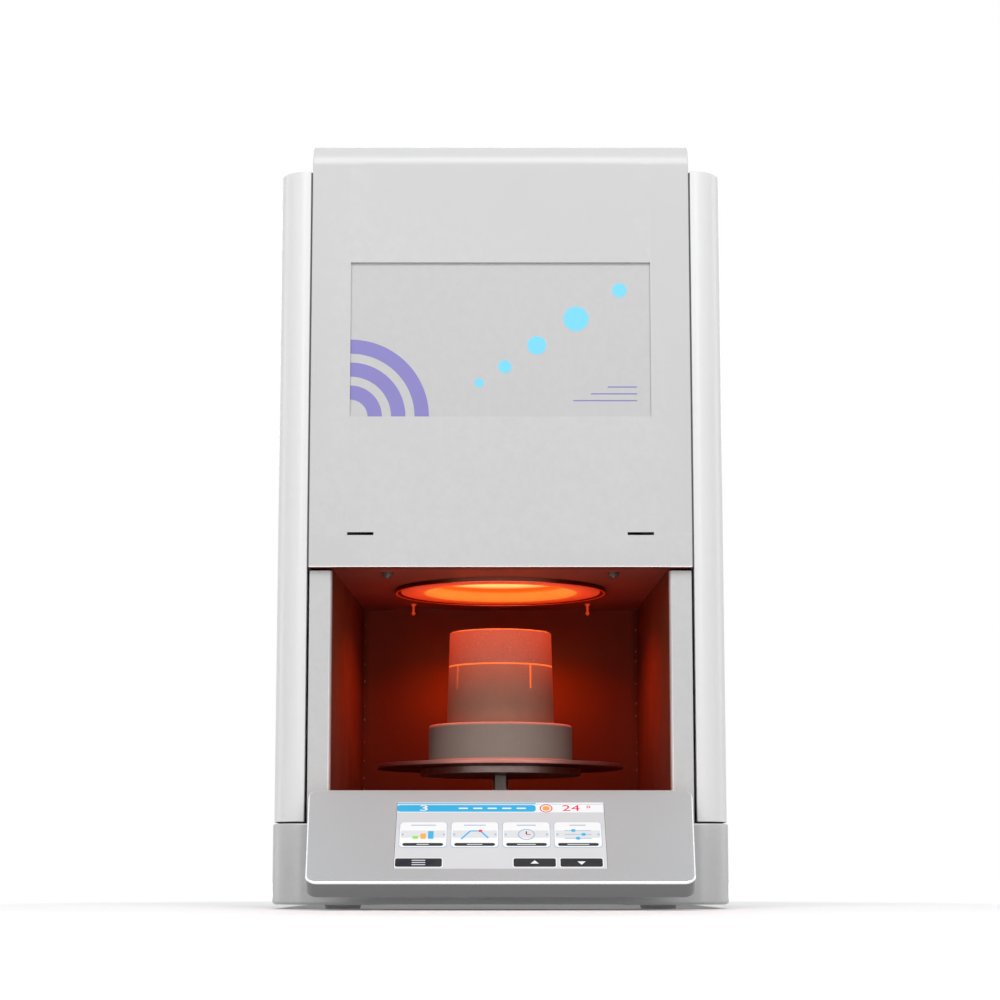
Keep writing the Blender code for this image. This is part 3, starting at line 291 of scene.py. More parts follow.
def makeCoat(name, colour, roughness, dust, metallic=0.0, gloss=0.35):
    tree, shader = newFinish(name, roughness, metallic, Coat_Weight=gloss, Coat_Roughness=0.18)
    grain = effect(tree, "paint", Scale=1400.0, Patch=6.0)
    dark, light, edge = (scaled(colour, coatTones[key]) for key in ("dark", "light", "worn"))
    tone = mixColours(tree, grain["Tone"], dark, light)
    # lighter edges: wear and painted highlight
    worn = mixColours(tree, effect(tree, "rub", Amount=0.35)["Mask"], tone, edge)
    dusty = mixColours(tree, effect(tree, "dust", Amount=dust)["Mask"], worn, coatTones["dust"])
    surface(tree, shader, dusty, grain["Height"], 0.10, 0.00015,
            (grain["Tone"], roughness - 0.05, roughness + 0.06))


def makeSilverCoat(name, colour, roughness, metallic):
    tree, shader = newFinish(name, roughness, metallic)
    grain = effect(tree, "paint", Scale=2200.0, Patch=9.0)
    flake = remap(tree, grain["Height"], 0.35, 0.65)
    tone = mixColours(tree, flake, scaled(colour, 0.93), scaled(colour, 1.06))
    # lighter edges: wear and painted highlight
    worn = mixColours(tree, effect(tree, "rub", Amount=0.4)["Mask"], tone, (0.66, 0.66, 0.67))
    surface(tree, shader, worn, grain["Height"], 0.12, 0.00012, (grain["Tone"], 0.34, 0.48))


oxide = {
    "tones": ((0.220, 0.032, 0.012), (0.290, 0.047, 0.018)),
    "roofTones": ((0.36, 0.078, 0.052), (0.44, 0.100, 0.068)),
    "scorch": (0.165, 0.030, 0.014), "scorchReach": (0.10, 0.20), "scorchRise": (0.20, 0.315),
    # painted light on the back wall: its colour and where it lies
    "stain": (0.46, 0.080, 0.012), "stainReach": (0.045, 0.135),
    "stainRise": (0.155, 0.225), "stainFall": (0.235, 0.315),
    # painted shade of the side walls and of the walls low down
    "side": (0.120, 0.020, 0.008), "sideFrom": (0.140, 0.145), "sideShare": 0.6,
    "cool": (0.126, 0.029, 0.019), "coolFall": (0.115, 0.26),
}


def makeOxideCoat():
    tree, shader = newFinish("oxideCoat", 0.62, Specular_IOR_Level=0.2)
    grain = effect(tree, "paint", Scale=900.0, Patch=14.0)
    place = effect(tree, "place", Centre_Y=axisY)
    radius, height = place["Radius"], place["Height"]
    parts = splitVector(tree, objectPlace(tree))
    across = maths(tree, "ABSOLUTE", parts["X"])
    heat = product(tree, fall(tree, radius, *oxide["scorchReach"], True),
                   remap(tree, height, *oxide["scorchRise"]))
    walls = mixColours(tree, grain["Tone"], *oxide["tones"])
    walls = mixColours(tree, heat, walls, oxide["scorch"])
    # painted light: a brighter patch on the back wall behind the crucible, standing in for the
    # light of the mouth that falls there
    behind = remap(tree, parts["Y"], backY - 0.002, backY - 0.001)
    level = product(tree, remap(tree, height, *oxide["stainRise"], smooth=True),
                    fall(tree, height, *oxide["stainFall"], True))
    middle = fall(tree, across, *oxide["stainReach"], True)
    walls = mixColours(tree, product(tree, behind, product(tree, middle, level)), walls,
                       oxide["stain"])
    # painted shade: the side walls are darker, and the walls darker and browner low down
    sides = remap(tree, across, *oxide["sideFrom"], 0.0, oxide["sideShare"])
    walls = mixColours(tree, sides, walls, oxide["side"])
    walls = mixColours(tree, fall(tree, height, *oxide["coolFall"], True), walls, oxide["cool"])
    # painted light: the ceiling plate gets a lighter coat, standing in for the glow of the
    # compartment on it
    roof = mixColours(tree, grain["Tone"], *oxide["roofTones"])
    plate = remap(tree, height, ceilingZ - 0.0002, ceilingZ - 0.0001)
    surface(tree, shader, mixColours(tree, plate, walls, roof), grain["Height"], 0.25, 0.0002,
            (grain["Tone"], 0.54, 0.72))


glow = {
    "ringFace": (0.64, 0.018, 0.0), "ringEdge": (0.80, 0.045, 0.002), "ringFade": 0.72,
    "wall": (0.95, 0.235, 0.028), "band": (0.92, 0.075, 0.0), "top": (1.0, 0.74, 0.22),
    "slit": (1.0, 0.16, 0.02), "crucible": (0.92, 0.043, 0.006), "plug": (0.42, 0.028, 0.010),
    "element": (1.0, 0.62, 0.22), "elementHeight": 0.020, "wallHeight": 0.020,
    # where the glow ends, as radii or as heights from the roof, mouth, plug or crucible's seam
    "faceReach": (0.072, 0.101), "boreEdge": (0.0765, 0.0775), "faceEdge": (0.1005, 0.104),
    "roofEdge": (0.0004, 0.0008), "mouthEdge": (0.0040, 0.0048), "plugTop": (-0.0035, -0.0006),
    "plugFoot": (0.0030, 0.0044), "crucibleLow": -0.045, "joint": (0.0004, 0.0011),
    "crucibleBore": (0.0500, 0.0512), "slitTop": (0.001, 0.0015),
}


def rangeFrom(start, reach):
    return [start + step for step in reach]


def makeHotRefractory():
    tree, shader = newFinish("hotRefractory", 0.95)
    grain = effect(tree, "ceramic", Scale=420.0)
    place = effect(tree, "place", Centre_Y=axisY)
    radius, height = place["Radius"], place["Height"]
    tone = mixColours(tree, grain["Tone"], (0.32, 0.22, 0.14), (0.40, 0.28, 0.18))
    tone = mixColours(tree, grain["Fleck"], tone, (0.30, 0.24, 0.19))
    bore = fall(tree, radius, *glow["boreEdge"])
    face = colourSteps(tree, remap(tree, radius, *glow["faceReach"]), (
        (0.0, glow["ringEdge"]), (0.25, glow["ringEdge"]), (0.60, glow["ringFace"]),
        (1.0, scaled(glow["ringFace"], glow["ringFade"]))))
    # the bore glows with heat; the steps up its wall are painted light and shade: a lit lower wall,
    # a painted shadow band, then the bright top
    inside = colourSteps(tree, remap(tree, height, mouthZ, mouthZ + glow["wallHeight"]), (
        (0.0, glow["wall"]), (0.40, glow["wall"]), (0.54, glow["band"]),
        (0.66, glow["band"]), (0.80, glow["top"])))
    # only the bore and the ring's lower face glow, not the outer sides of the insulation
    shade = remap(tree, grain["Tone"], 0.25, 0.75, 0.82, 1.0)
    boreHeat = product(tree, bore, fall(tree, height, *rangeFrom(roofZ, glow["roofEdge"])))
    faceHeat = product(tree, fall(tree, radius, *glow["faceEdge"]),
                       fall(tree, height, *rangeFrom(mouthZ, glow["mouthEdge"])))
    heat = product(tree, shade, maths(tree, "MAXIMUM", boreHeat, faceHeat))
    glowWith(tree, shader, heat, mixColours(tree, bore, face, inside))
    surface(tree, shader, mixColours(tree, bore, tone, (0.05, 0.02, 0.012)), grain["Height"], 0.5,
            0.0006)


def makePlugRefractory():
    tree, shader = newFinish("plugRefractory", 0.95)
    grain = effect(tree, "ceramic", Scale=520.0)
    height = effect(tree, "place", Centre_Y=axisY)["Height"]
    foot, top = (corner.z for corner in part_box("furnace_plug"))
    tone = mixColours(tree, grain["Tone"], (0.314, 0.262, 0.223), (0.372, 0.308, 0.263))
    tone = mixColours(tree, product(tree, grain["Fleck"], 0.4), tone, (0.40, 0.33, 0.28))
    # painted light: the plug's top edge glows as if lit from the mouth, and a painted reflection of
    # the glow lines its foot
    paintedLitTop = remap(tree, height, *rangeFrom(top, glow["plugTop"]), smooth=True)
    paintedFootReflection = fall(tree, height, *rangeFrom(foot, glow["plugFoot"]), True)
    glowWith(tree, shader, maths(tree, "MAXIMUM", paintedLitTop, paintedFootReflection), glow["plug"])
    surface(tree, shader, tone, grain["Height"], 0.45, 0.0005)


def makeCrucibleAlumina():
    tree, shader = newFinish("crucibleAlumina", 0.88)
    grain = effect(tree, "ceramic", Scale=900.0)
    place = effect(tree, "place", Centre_Y=axisY)
    height = place["Height"]
    seam, lidTop = (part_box(node)[1].z for node in ("crucible_bowl", "crucible_lid"))
    tone = mixColours(tree, grain["Tone"], (0.33, 0.205, 0.142), (0.41, 0.252, 0.176))
    speck = product(tree, grain["Fleck"], remap(tree, height, seam - 0.004, seam + 0.002, 0.25))
    # painted light: the wall glows more towards the lid, standing in for the light of the mouth on
    # it; a painted glow lies on the joint and inside the bowl, where it shows through the notches
    paintedLidLight = remap(tree, height, seam + glow["crucibleLow"], lidTop, 0.04, 0.56, True)
    fleck = remap(tree, grain["Height"], 0.25, 0.75, 0.60, 1.30)
    wall = mixColours(tree, product(tree, paintedLidLight, fleck), black, glow["crucible"])
    fromSeam = maths(tree, "ABSOLUTE", maths(tree, "SUBTRACT", height, seam))
    joint = fall(tree, fromSeam, *glow["joint"])
    slit = product(tree, fall(tree, place["Radius"], *glow["crucibleBore"]),
                   fall(tree, height, *rangeFrom(seam, glow["slitTop"])))
    glowWith(tree, shader, maths(tree, "MAXIMUM", joint, slit), glow["slit"], wall)
    surface(tree, shader, mixColours(tree, speck, tone, (0.58, 0.38, 0.30)), grain["Height"], 0.4,
            0.0003)


def makePaintedGlowSteel():
    tree, shader = newFinish("heatedSteel", 0.46, 0.85)
    lines = effect(tree, "turned", Scale=1300.0, Centre_Y=axisY)
    grain = effect(tree, "paint", Scale=700.0, Patch=25.0)
    radius = effect(tree, "place", Centre_Y=axisY)["Radius"]
    # painted reflection: the steel turns redder towards the rim, standing in for the glow it
    # reflects, and the lighter band on the rim is a painted highlight
    tint = colourSteps(tree, remap(tree, radius, 0.070, 0.124), (
        (0.0, (0.17, 0.085, 0.072)), (0.35, (0.18, 0.090, 0.080)),
        (0.7, (0.26, 0.090, 0.076)), (1.0, (0.32, 0.105, 0.085))))
    patches = remap(tree, grain["Tone"], 0.3, 0.7, 0.0, 0.5)
    shade = mixColours(tree, patches, tint, (0.055, 0.04, 0.038))
    rim = remap(tree, radius, 0.1212, 0.1222)
    surface(tree, shader, mixColours(tree, rim, shade, (0.44, 0.190, 0.165)), lines["Height"], 0.12,
            0.0001, (grain["Tone"], 0.38, 0.56))


def makeHotElement():
    tree, shader = newFinish("hotElement", 0.5, 0.2)
    grain = effect(tree, "paint", Scale=600.0, Patch=30.0)
    height = effect(tree, "place", Centre_Y=axisY)["Height"]
    heat = fall(tree, height, roofZ - glow["elementHeight"], roofZ)
    glowWith(tree, shader, heat, glow["element"])
    surface(tree, shader, mixColours(tree, grain["Tone"], (0.16, 0.15, 0.14), (0.26, 0.24, 0.22)),
            grain["Height"], 0.2, 0.0001)


def makeMetal(tree, shader, lines, dark, light, edgeGain, bump, smoothest, roughest):
    tone = mixColours(tree, lines["Tone"], dark, light)
    # lighter edges: wear and painted highlight
    rub = effect(tree, "rub", Amount=0.5)["Mask"]
    surface(tree, shader, mixColours(tree, rub, tone, scaled(light, edgeGain)), lines["Height"],
            bump, 0.0001, (lines["Height"], smoothest, roughest))


def makeTurnedMetal(name, dark, light, roughness, bump=0.12, centre=axisY):
    tree, shader = newFinish(name, roughness, 1.0)
    lines = effect(tree, "turned", Scale=1600.0, Centre_Y=centre)
    makeMetal(tree, shader, lines, dark, light, 1.35, bump, roughness - 0.07, roughness + 0.09)


def makeBrushedMetal(name, dark, light, roughness, metallic=1.0, scale=50.0, stretch=30.0):
    tree, shader = newFinish(name, roughness, metallic)
    lines = effect(tree, "brushed", Scale=scale, Stretch=stretch)
    makeMetal(tree, shader, lines, dark, light, 1.3, 0.10, roughness - 0.06, roughness + 0.10)


def makePlain(name, dark, light, roughness, scale=900.0, bump=0.2, metallic=0.0):
    tree, shader = newFinish(name, roughness, metallic)
    grain = effect(tree, "paint", Scale=scale, Patch=18.0)
    tone = mixColours(tree, grain["Tone"], dark, light)
    dusty = mixColours(tree, effect(tree, "dust", Amount=0.25)["Mask"], tone, (0.30, 0.29, 0.27))
    surface(tree, shader, dusty, grain["Height"], bump, 0.00015,
            (grain["Tone"], roughness - 0.05, roughness + 0.07))


def makeScreenInk(name, first, second):
    # lit ink under glass: the coat gives the gloss, the emission the light of the screen
    tree, shader = newFinish(name, 0.10, Specular_IOR_Level=0.0, Coat_Weight=0.8,
                             Coat_Roughness=0.04, Emission_Strength=0.95)
    tone = effect(tree, "paint", Scale=60.0, Patch=30.0)["Tone"]
    colour = mixColours(tree, tone, first, second)
    unlit = mixColours(tree, 1.0, colour, (0.12, 0.12, 0.12), "MULTIPLY")
    plug(tree, unlit, shader.inputs["Base Color"])
    plug(tree, colour, shader.inputs["Emission Color"])


coats = {   # colour, roughness, dust, metallic, gloss
    "columnWhite": ((0.79, 0.79, 0.795), 0.36, 0.10),
    "doorGrey": ((0.583, 0.583, 0.588), 0.42, 0.10),
    "recessGrey": ((0.545, 0.545, 0.550), 0.55, 0.05),
    "panelGrey": ((0.440, 0.456, 0.468), 0.42, 0.0, 0.10, 0.1),
    "panelShade": ((0.20, 0.20, 0.204), 0.42, 0.0, 0.25, 0.3),
    "gapShade": ((0.055, 0.055, 0.057), 0.55, 0.0),
    "postGrey": ((0.56, 0.56, 0.56), 0.46, 0.05),
    # a light coat for painted highlights on edges
    "edgeWhite": ((0.86, 0.865, 0.875), 0.34, 0.0),
}
turnedMetals = {   # dark, light, roughness, bump, centre
    "collarSteel": ((0.20, 0.052, 0.034), (0.29, 0.078, 0.050), 0.40),
    "collarRim": ((0.62, 0.20, 0.12), (0.78, 0.28, 0.17), 0.30),
    # the hub's machined metal has a slight red tint: painted light of the glow
    "hubMetal": ((0.40, 0.315, 0.295), (0.50, 0.395, 0.37), 0.46),
    "screwSteel": ((0.40, 0.40, 0.40), (0.62, 0.62, 0.62), 0.30, 0.1, screwY),
    "nutBronze": ((0.48, 0.30, 0.12), (0.66, 0.45, 0.20), 0.34, 0.1, screwY),
}
brushedMetals = {   # dark, light, roughness, metallic, scale, stretch
    "armSteel": ((0.18, 0.165, 0.155), (0.25, 0.23, 0.215), 0.44, 0.6),
    # a bright satin metal for painted highlights on edges
    "edgeSatin": ((0.84, 0.84, 0.85), (0.92, 0.92, 0.93), 0.26, 1.0, 120.0, 4.0),
    # a darker, warmer copy of the zinc plate for the ceiling hardware: painted shade
    "heatedZinc": ((0.11, 0.085, 0.075), (0.19, 0.15, 0.135), 0.42, 0.9, 90.0, 8.0),
    "canSteel": ((0.46, 0.46, 0.45), (0.62, 0.61, 0.60), 0.34),
    "machinedMetal": ((0.48, 0.48, 0.50), (0.64, 0.64, 0.66), 0.38),
    "darkSteel": ((0.07, 0.065, 0.06), (0.14, 0.13, 0.125), 0.48, 0.8),
    "zincPlate": ((0.42, 0.42, 0.42), (0.60, 0.60, 0.60), 0.40, 1.0, 90.0, 8.0),
}
plainFinishes = {   # dark, light, roughness, scale, bump, metallic
    "weldMetal": ((0.34, 0.16, 0.12), (0.48, 0.26, 0.20), 0.45, 900.0, 0.3, 0.4),
    # pins painted red-orange and glowing: painted light of the mouth
    "heatedPin": ((0.40, 0.11, 0.055), (0.54, 0.16, 0.08), 0.40, 900.0, 0.2, 0.3),
    "copperWinding": ((0.48, 0.17, 0.06), (0.72, 0.30, 0.12), 0.34, 1800.0, 0.4, 0.8),
    "blackPlastic": ((0.022, 0.022, 0.024), (0.036, 0.036, 0.038), 0.48),
    "footRubber": ((0.44, 0.44, 0.44), (0.52, 0.52, 0.515), 0.82, 700.0, 0.35),
    "boardGreen": ((0.016, 0.13, 0.05), (0.03, 0.22, 0.09), 0.42),
    "carrierCeramic": ((0.60, 0.57, 0.52), (0.74, 0.70, 0.64), 0.85, 600.0, 0.4),
    "artViolet": ((0.225, 0.200, 0.50), (0.26, 0.235, 0.56), 0.5, 900.0, 0.08),
    "artCyan": ((0.18, 0.66, 0.93), (0.22, 0.74, 1.0), 0.5, 900.0, 0.08),
    "markWhite": ((0.72, 0.72, 0.72), (0.82, 0.82, 0.82), 0.5, 900.0, 0.05),
}
screenInks = {   # two shades of each ink
    "inkGrey": ((0.65, 0.65, 0.67), (0.72, 0.72, 0.74)),
    "inkWhite": ((0.90, 0.90, 0.91), (0.97, 0.97, 0.98)),
    "inkSilver": ((0.70, 0.71, 0.73), (0.78, 0.79, 0.80)),
    "inkBlue": ((0.04, 0.42, 0.74), (0.06, 0.50, 0.84)),
    "inkBlack": ((0.010, 0.010, 0.012), (0.020, 0.020, 0.024)),
    "inkRed": ((0.82, 0.03, 0.08), (0.90, 0.05, 0.12)),
    "inkOrange": ((0.92, 0.36, 0.06), (1.0, 0.48, 0.12)),
    "inkGreen": ((0.24, 0.70, 0.08), (0.34, 0.82, 0.14)),
    "inkSteel": ((0.40, 0.50, 0.62), (0.50, 0.60, 0.72)),
}
# emission colours that paint the glow of the mouth on small parts
paintedGlowFinishes = {"collarRim": (0.34, 0.011, 0.0), "heatedPin": (0.38, 0.024, 0.002)}

for makeFinish, table in ((makeCoat, coats), (makeTurnedMetal, turnedMetals),
                          (makeBrushedMetal, brushedMetals), (makePlain, plainFinishes),
                          (makeScreenInk, screenInks)):
    for finishName, values in table.items():
        makeFinish(finishName, *values)
makeSilverCoat("baseSilver", (0.48, 0.48, 0.485), 0.40, 0.35)
makeOxideCoat()
makeHotRefractory()
makePlugRefractory()
makeCrucibleAlumina()
makePaintedGlowSteel()
makeHotElement()
for finishName, paintedGlowColour in paintedGlowFinishes.items():
    # painted light: small parts near the mouth glow as if they caught its light
    paintedGlowTree = finishes[finishName].node_tree
    for label, value in (("Emission Color", paintedGlowColour), ("Emission Strength", 1.0)):
        plug(paintedGlowTree, value, paintedGlowTree.nodes["Principled BSDF"].inputs[label])
print("finishes made:", len(finishes))

slotFinishes = {
    "white_paint": "doorGrey", "panel_paint": "panelGrey", "oxide_paint": "oxideCoat",
    "refractory": "hotRefractory", "alumina": "carrierCeramic", "stainless": "canSteel",
    "dark_steel": "darkSteel", "machined": "machinedMetal", "bronze": "nutBronze",
    "silicide": "hotElement", "black_plastic": "blackPlastic",
    "circuit_green": "boardGreen", "copper": "copperWinding",
}
nodeSlots = {row["node"]: row["material_slot"] for row in frame["record"]["subparts"]}
nodeBodies = {name: node["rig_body"] for name, node in frame["nodes"].items()}


# Shaping helpers

def boxShape(low, high):
    shape = bmesh.new()
    bmesh.ops.create_cube(shape, size=1.0)
    bmesh.ops.scale(shape, vec=[b - a for a, b in zip(low, high)], verts=shape.verts)
    bmesh.ops.translate(shape, vec=[(a + b) / 2 for a, b in zip(low, high)], verts=shape.verts)
    return shape


def roundOff(shape, parts, width, segments=3, affect="EDGES"):
    bmesh.ops.bevel(shape, geom=list(parts), offset=width, offset_type="OFFSET",
                    segments=segments, profile=0.5, affect=affect, material=-1,
                    clamp_overlap=affect == "EDGES")


def edgesWhere(shape, test):
    return [edge for edge in shape.edges if all(test(vert.co) for vert in edge.verts)]


def uprightEdges(shape, test=lambda p: True):
    return [edge for edge in edgesWhere(shape, test)
            if abs(edge.verts[0].co.z - edge.verts[1].co.z) > tiny]


def sharpEdges(shape, degrees=40):
    limit = math.radians(degrees)
    return [edge for edge in shape.edges
            if len(edge.link_faces) == 2 and edge.calc_face_angle(0.0) > limit]


def endEdges(shape):
    # the outline of the ends that look along X
    return [edge for edge in shape.edges if len(edge.link_faces) == 2
            and any(abs(face.normal.x) > flat for face in edge.link_faces)]


def roundWhere(shape, test, width, segments=3):
    roundOff(shape, edgesWhere(shape, test), width, segments)


def roundSharp(shape, test, width, segments=3):
    sharp = set(sharpEdges(shape))
    roundOff(shape, [edge for edge in edgesWhere(shape, test) if edge in sharp], width, segments)


def facing(axis, sign=1, limit=flat):
    return lambda face: face.normal[axis] * sign > limit


def dropFaces(shape, test):
    bmesh.ops.delete(shape, geom=[face for face in shape.faces if test(face)], context="FACES")


def sliceAt(shape, axis, places, test=lambda face: True):
    normal = Vector((0.0, 0.0, 0.0))
    normal[axis] = 1.0
    for place in places:
        faces = [face for face in shape.faces if test(face)]
        edges = {edge for face in faces for edge in face.edges}
        verts = {vert for face in faces for vert in face.verts}
        bmesh.ops.bisect_plane(shape, geom=faces + list(edges) + list(verts), dist=tiny,
                               plane_co=normal * place, plane_no=normal)


def cutWindow(shape, test, *sides):
    # opens a window in the faces that pass the test; a side is an axis with its low and high
    for axis, low, high in sides:
        sliceAt(shape, axis, (low, high), test)
    dropFaces(shape, lambda face: test(face) and all(
        low < face.calc_center_median()[axis] < high for axis, low, high in sides))


def turnedShape(profile, steps, closed=True):
    # a profile of (radius, height) is spun once round the Z axis
    shape = bmesh.new()
    verts = [shape.verts.new((radius, 0.0, height)) for radius, height in profile]
    pairs = list(zip(verts, verts[1:]))
    if closed:
        pairs.append((verts[-1], verts[0]))
    edges = [shape.edges.new(pair) for pair in pairs]
    bmesh.ops.spin(shape, geom=verts + edges, cent=(0.0, 0.0, 0.0), axis=(0.0, 0.0, 1.0),
                   angle=2 * math.pi, steps=steps, use_merge=True)
    bmesh.ops.remove_doubles(shape, verts=shape.verts, dist=tiny * 5)
    bmesh.ops.recalc_face_normals(shape, faces=shape.faces)
    return shape


def rodShape(radius, top, bottom, steps):
    return turnedShape([(0.0, top), (radius, top), (radius, bottom), (0.0, bottom)], steps, False)


def pipeShape(outer, inner, top, bottom, steps):
    return turnedShape([(outer, top), (outer, bottom), (inner, bottom), (inner, top)], steps)


def pullFaces(shape, shift):
    # gives flat faces a thickness
    result = bmesh.ops.extrude_face_region(shape, geom=shape.faces[:])
    moved = [item for item in result["geom"] if isinstance(item, bmesh.types.BMVert)]
    bmesh.ops.translate(shape, vec=shift, verts=moved)
    bmesh.ops.recalc_face_normals(shape, faces=shape.faces)


def moveShape(shape, matrix):
    bmesh.ops.transform(shape, matrix=matrix, verts=shape.verts)
    return shape


def moveTo(shape, x, y, z):
    return moveShape(shape, Matrix.Translation((x, y, z)))


def mergeShapes(shapes):
    whole = bmesh.new()
    for shape in shapes:
        mesh = bpy.data.meshes.new("joining")
        shape.to_mesh(mesh)
        shape.free()
        whole.from_mesh(mesh)
        bpy.data.meshes.remove(mesh)
    return whole


def addModifier(piece, name, kind, **settings):
    modifier = piece.modifiers.new(name, kind)
    for setting, value in settings.items():
        setattr(modifier, setting, value)


def finishPiece(shape, name, finish, body="case", node=None, angle=38, sheet=0.0, edge=0.0,
                weighted=True, trims=()):
    # a trim is a second finish and the test that picks its faces
    global pieceCount
    for index, (trim, test) in enumerate(trims):
        for face in shape.faces:
            if test(face):
                face.material_index = index + 1
    mesh = bpy.data.meshes.new(name)
    shape.to_mesh(mesh)
    shape.free()
    for each in (finish, *(trim for trim, test in trims)):
        mesh.materials.append(finishes[each])
    mesh.shade_smooth()
    mesh.set_sharp_from_angle(angle=math.radians(angle))
    piece = bpy.data.objects.new(name, mesh)
    looks.objects.link(piece)
    if sheet:
        addModifier(piece, "wall", "SOLIDIFY", thickness=sheet, offset=-1.0, use_even_offset=True)
    if edge:
        addModifier(piece, "edge", "BEVEL", width=edge, segments=2, limit_method="ANGLE",
                    angle_limit=math.radians(50))
    if weighted:
        addModifier(piece, "shading", "WEIGHTED_NORMAL", keep_sharp=True, weight=80)
    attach(piece, body)
    if node:
        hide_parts(node)
        replacedNodes.add(node)
    pieceCount += 1


def camelName(node):
    words = node.split("_")
    return words[0] + "".join(word.title() for word in words[1:])


def finishNode(shape, node, finish, name=None, **settings):
    # a piece that takes the place of a CAD node
    finishPiece(shape, name or camelName(node), finish, nodeBodies[node], node, **settings)


# Casing

def roundFrontCorners(shape, frontY, cover, test=lambda p: True):
    # elliptic corners: the shape is squashed, rounded and stretched again
    squash = cover["cornerWidth"] / cover["cornerDepth"]
    bmesh.ops.scale(shape, vec=(1.0, squash, 1.0), verts=shape.verts)
    edges = uprightEdges(shape, lambda p: abs(p.y - frontY * squash) < tiny and test(p))
    roundOff(shape, edges, cover["cornerWidth"], 16)
    bmesh.ops.scale(shape, vec=(1.0, 1 / squash, 1.0), verts=shape.verts)


sideCover = {"sheet": 0.002, "spread": 0.001, "cornerWidth": 0.0278, "cornerDepth": 0.030,
             "rearCorner": 0.008, "innerEdge": 0.0008, "return": 0.016, "topEdge": 0.0014,
             "footGap": 0.0011}


def makeSideCover(name, side):
    low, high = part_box(name)
    low.z += sideCover["footGap"]
    (high if side > 0 else low).x += side * sideCover["spread"]
    shape = boxShape(low, high)
    innerX, outerX = (low.x, high.x) if side > 0 else (high.x, low.x)
    roundFrontCorners(shape, low.y, sideCover, lambda p: abs(p.x - outerX) < tiny)
    roundWhere(shape, lambda p: abs(p.x - outerX) < tiny and abs(p.y - high.y) < tiny * 10,
               sideCover["rearCorner"], 6)
    roundWhere(shape, lambda p: abs(p.x - innerX) < tiny and not
               low.y + tiny * 10 <= p.y <= high.y - tiny * 10, sideCover["innerEdge"])
    roundWhere(shape, lambda p: p.z > high.z - tiny, sideCover["topEdge"], 4)
    roundWhere(shape, lambda p: p.z < low.z + tiny, sideCover["innerEdge"])
    cutWindow(shape, facing(0, -side, 0.9),
              (1, low.y + sideCover["return"], high.y - sideCover["return"]))
    dropFaces(shape, facing(2, -1))
    finishNode(shape, name, "columnWhite", name.replace("side_cover", "sideCover"),
               sheet=sideCover["sheet"])


makeSideCover("side_cover_left", -1)
makeSideCover("side_cover_right", 1)

baseCover = {"wall": 0.003, "cornerWidth": 0.0295, "cornerDepth": 0.030, "rearCorner": 0.008,
             "rimEdge": 0.0018, "footEdge": 0.003}


def makeBase():
    low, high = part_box("base_shell")
    shape = boxShape(low, high)
    roundFrontCorners(shape, low.y, baseCover)
    roundOff(shape, uprightEdges(shape, lambda p: abs(p.y - high.y) < tiny * 10),
             baseCover["rearCorner"], 6)
    roundWhere(shape, lambda p: p.z > high.z - tiny, baseCover["rimEdge"], 4)
    roundWhere(shape, lambda p: p.z < low.z + tiny, baseCover["footEdge"], 4)
    dropFaces(shape, lambda face: abs(face.normal.z) > flat)
    finishNode(shape, "base_shell", "baseSilver", sheet=baseCover["wall"])


makeBase()

frontCover = {"sheet": 0.002, "crown": 0.024, "bottomEdge": 0.0011, "sideEdge": 0.0014,
              "seamEdge": 0.0004, "flange": 0.018, "slotLength": 0.0245, "slotOuter": 0.1425,
              "slotHeights": (0.3430, 0.3458), "recessHalf": 0.141,
              "recessHeights": (0.455, 0.603)}


def makeFrontCover():
    low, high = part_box("front_cover")
    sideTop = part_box("side_cover_left")[1].z
    shape = boxShape(low, high)
    roundWhere(shape, lambda p: p.y < low.y + tiny and p.z > high.z - tiny, frontCover["crown"], 14)
    roundWhere(shape, lambda p: p.y < low.y + tiny and p.z < low.z + tiny,
               frontCover["bottomEdge"])
    roundOff(shape, endEdges(shape), frontCover["sideEdge"])
    dropFaces(shape, facing(1))
    flangeY = low.y + frontCover["flange"]
    sliceAt(shape, 1, (flangeY,))
    sliceAt(shape, 2, (sideTop,))
    dropFaces(shape, lambda face: face.calc_center_median().y > flangeY
              and face.calc_center_median().z < sideTop)
    half, outer = frontCover["recessHalf"], frontCover["slotOuter"]
    inner = outer - frontCover["slotLength"]
    cutWindow(shape, facing(1, -1), (0, -half, half), (2, *frontCover["recessHeights"]))
    for left, right in ((-outer, -inner), (inner, outer)):
        cutWindow(shape, facing(1, -1), (0, left, right), (2, *frontCover["slotHeights"]))
    # painted highlight: a bright satin finish on the rounded bottom edge
    onBottomEdge = lambda face: face.normal.y < -0.1 and face.normal.z < -0.1
    onUnderside = lambda face: face.normal.z < -0.9 and face.calc_center_median().z < low.z + tiny
    finishNode(shape, "front_cover", "doorGrey", sheet=frontCover["sheet"],
               edge=frontCover["seamEdge"],
               trims=(("edgeSatin", onBottomEdge), ("oxideCoat", onUnderside)))


makeFrontCover()

topCover = {"ventRows": 9, "ventPitch": 0.011, "ventWidth": 0.0045, "ventLength": 0.050,
            "ventOffset": 0.075}


def makeTopCover():
    low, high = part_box("top_cover")
    shape = boxShape(low, high)
    roundWhere(shape, lambda p: p.y > high.y - tiny and p.z > high.z - tiny,
               frontCover["crown"], 14)
    roundOff(shape, endEdges(shape), frontCover["sideEdge"])
    dropFaces(shape, lambda face: face.normal.y < -flat or face.normal.z < -flat)
    half, thick = topCover["ventLength"] / 2, topCover["ventWidth"] / 2
    for row in range(topCover["ventRows"]):
        y = axisY + (row - (topCover["ventRows"] - 1) / 2) * topCover["ventPitch"]
        for x in (-topCover["ventOffset"], topCover["ventOffset"]):
            cutWindow(shape, facing(2), (0, x - half, x + half), (1, y - thick, y + thick))
    finishNode(shape, "top_cover", "doorGrey", sheet=frontCover["sheet"],
               edge=frontCover["seamEdge"])


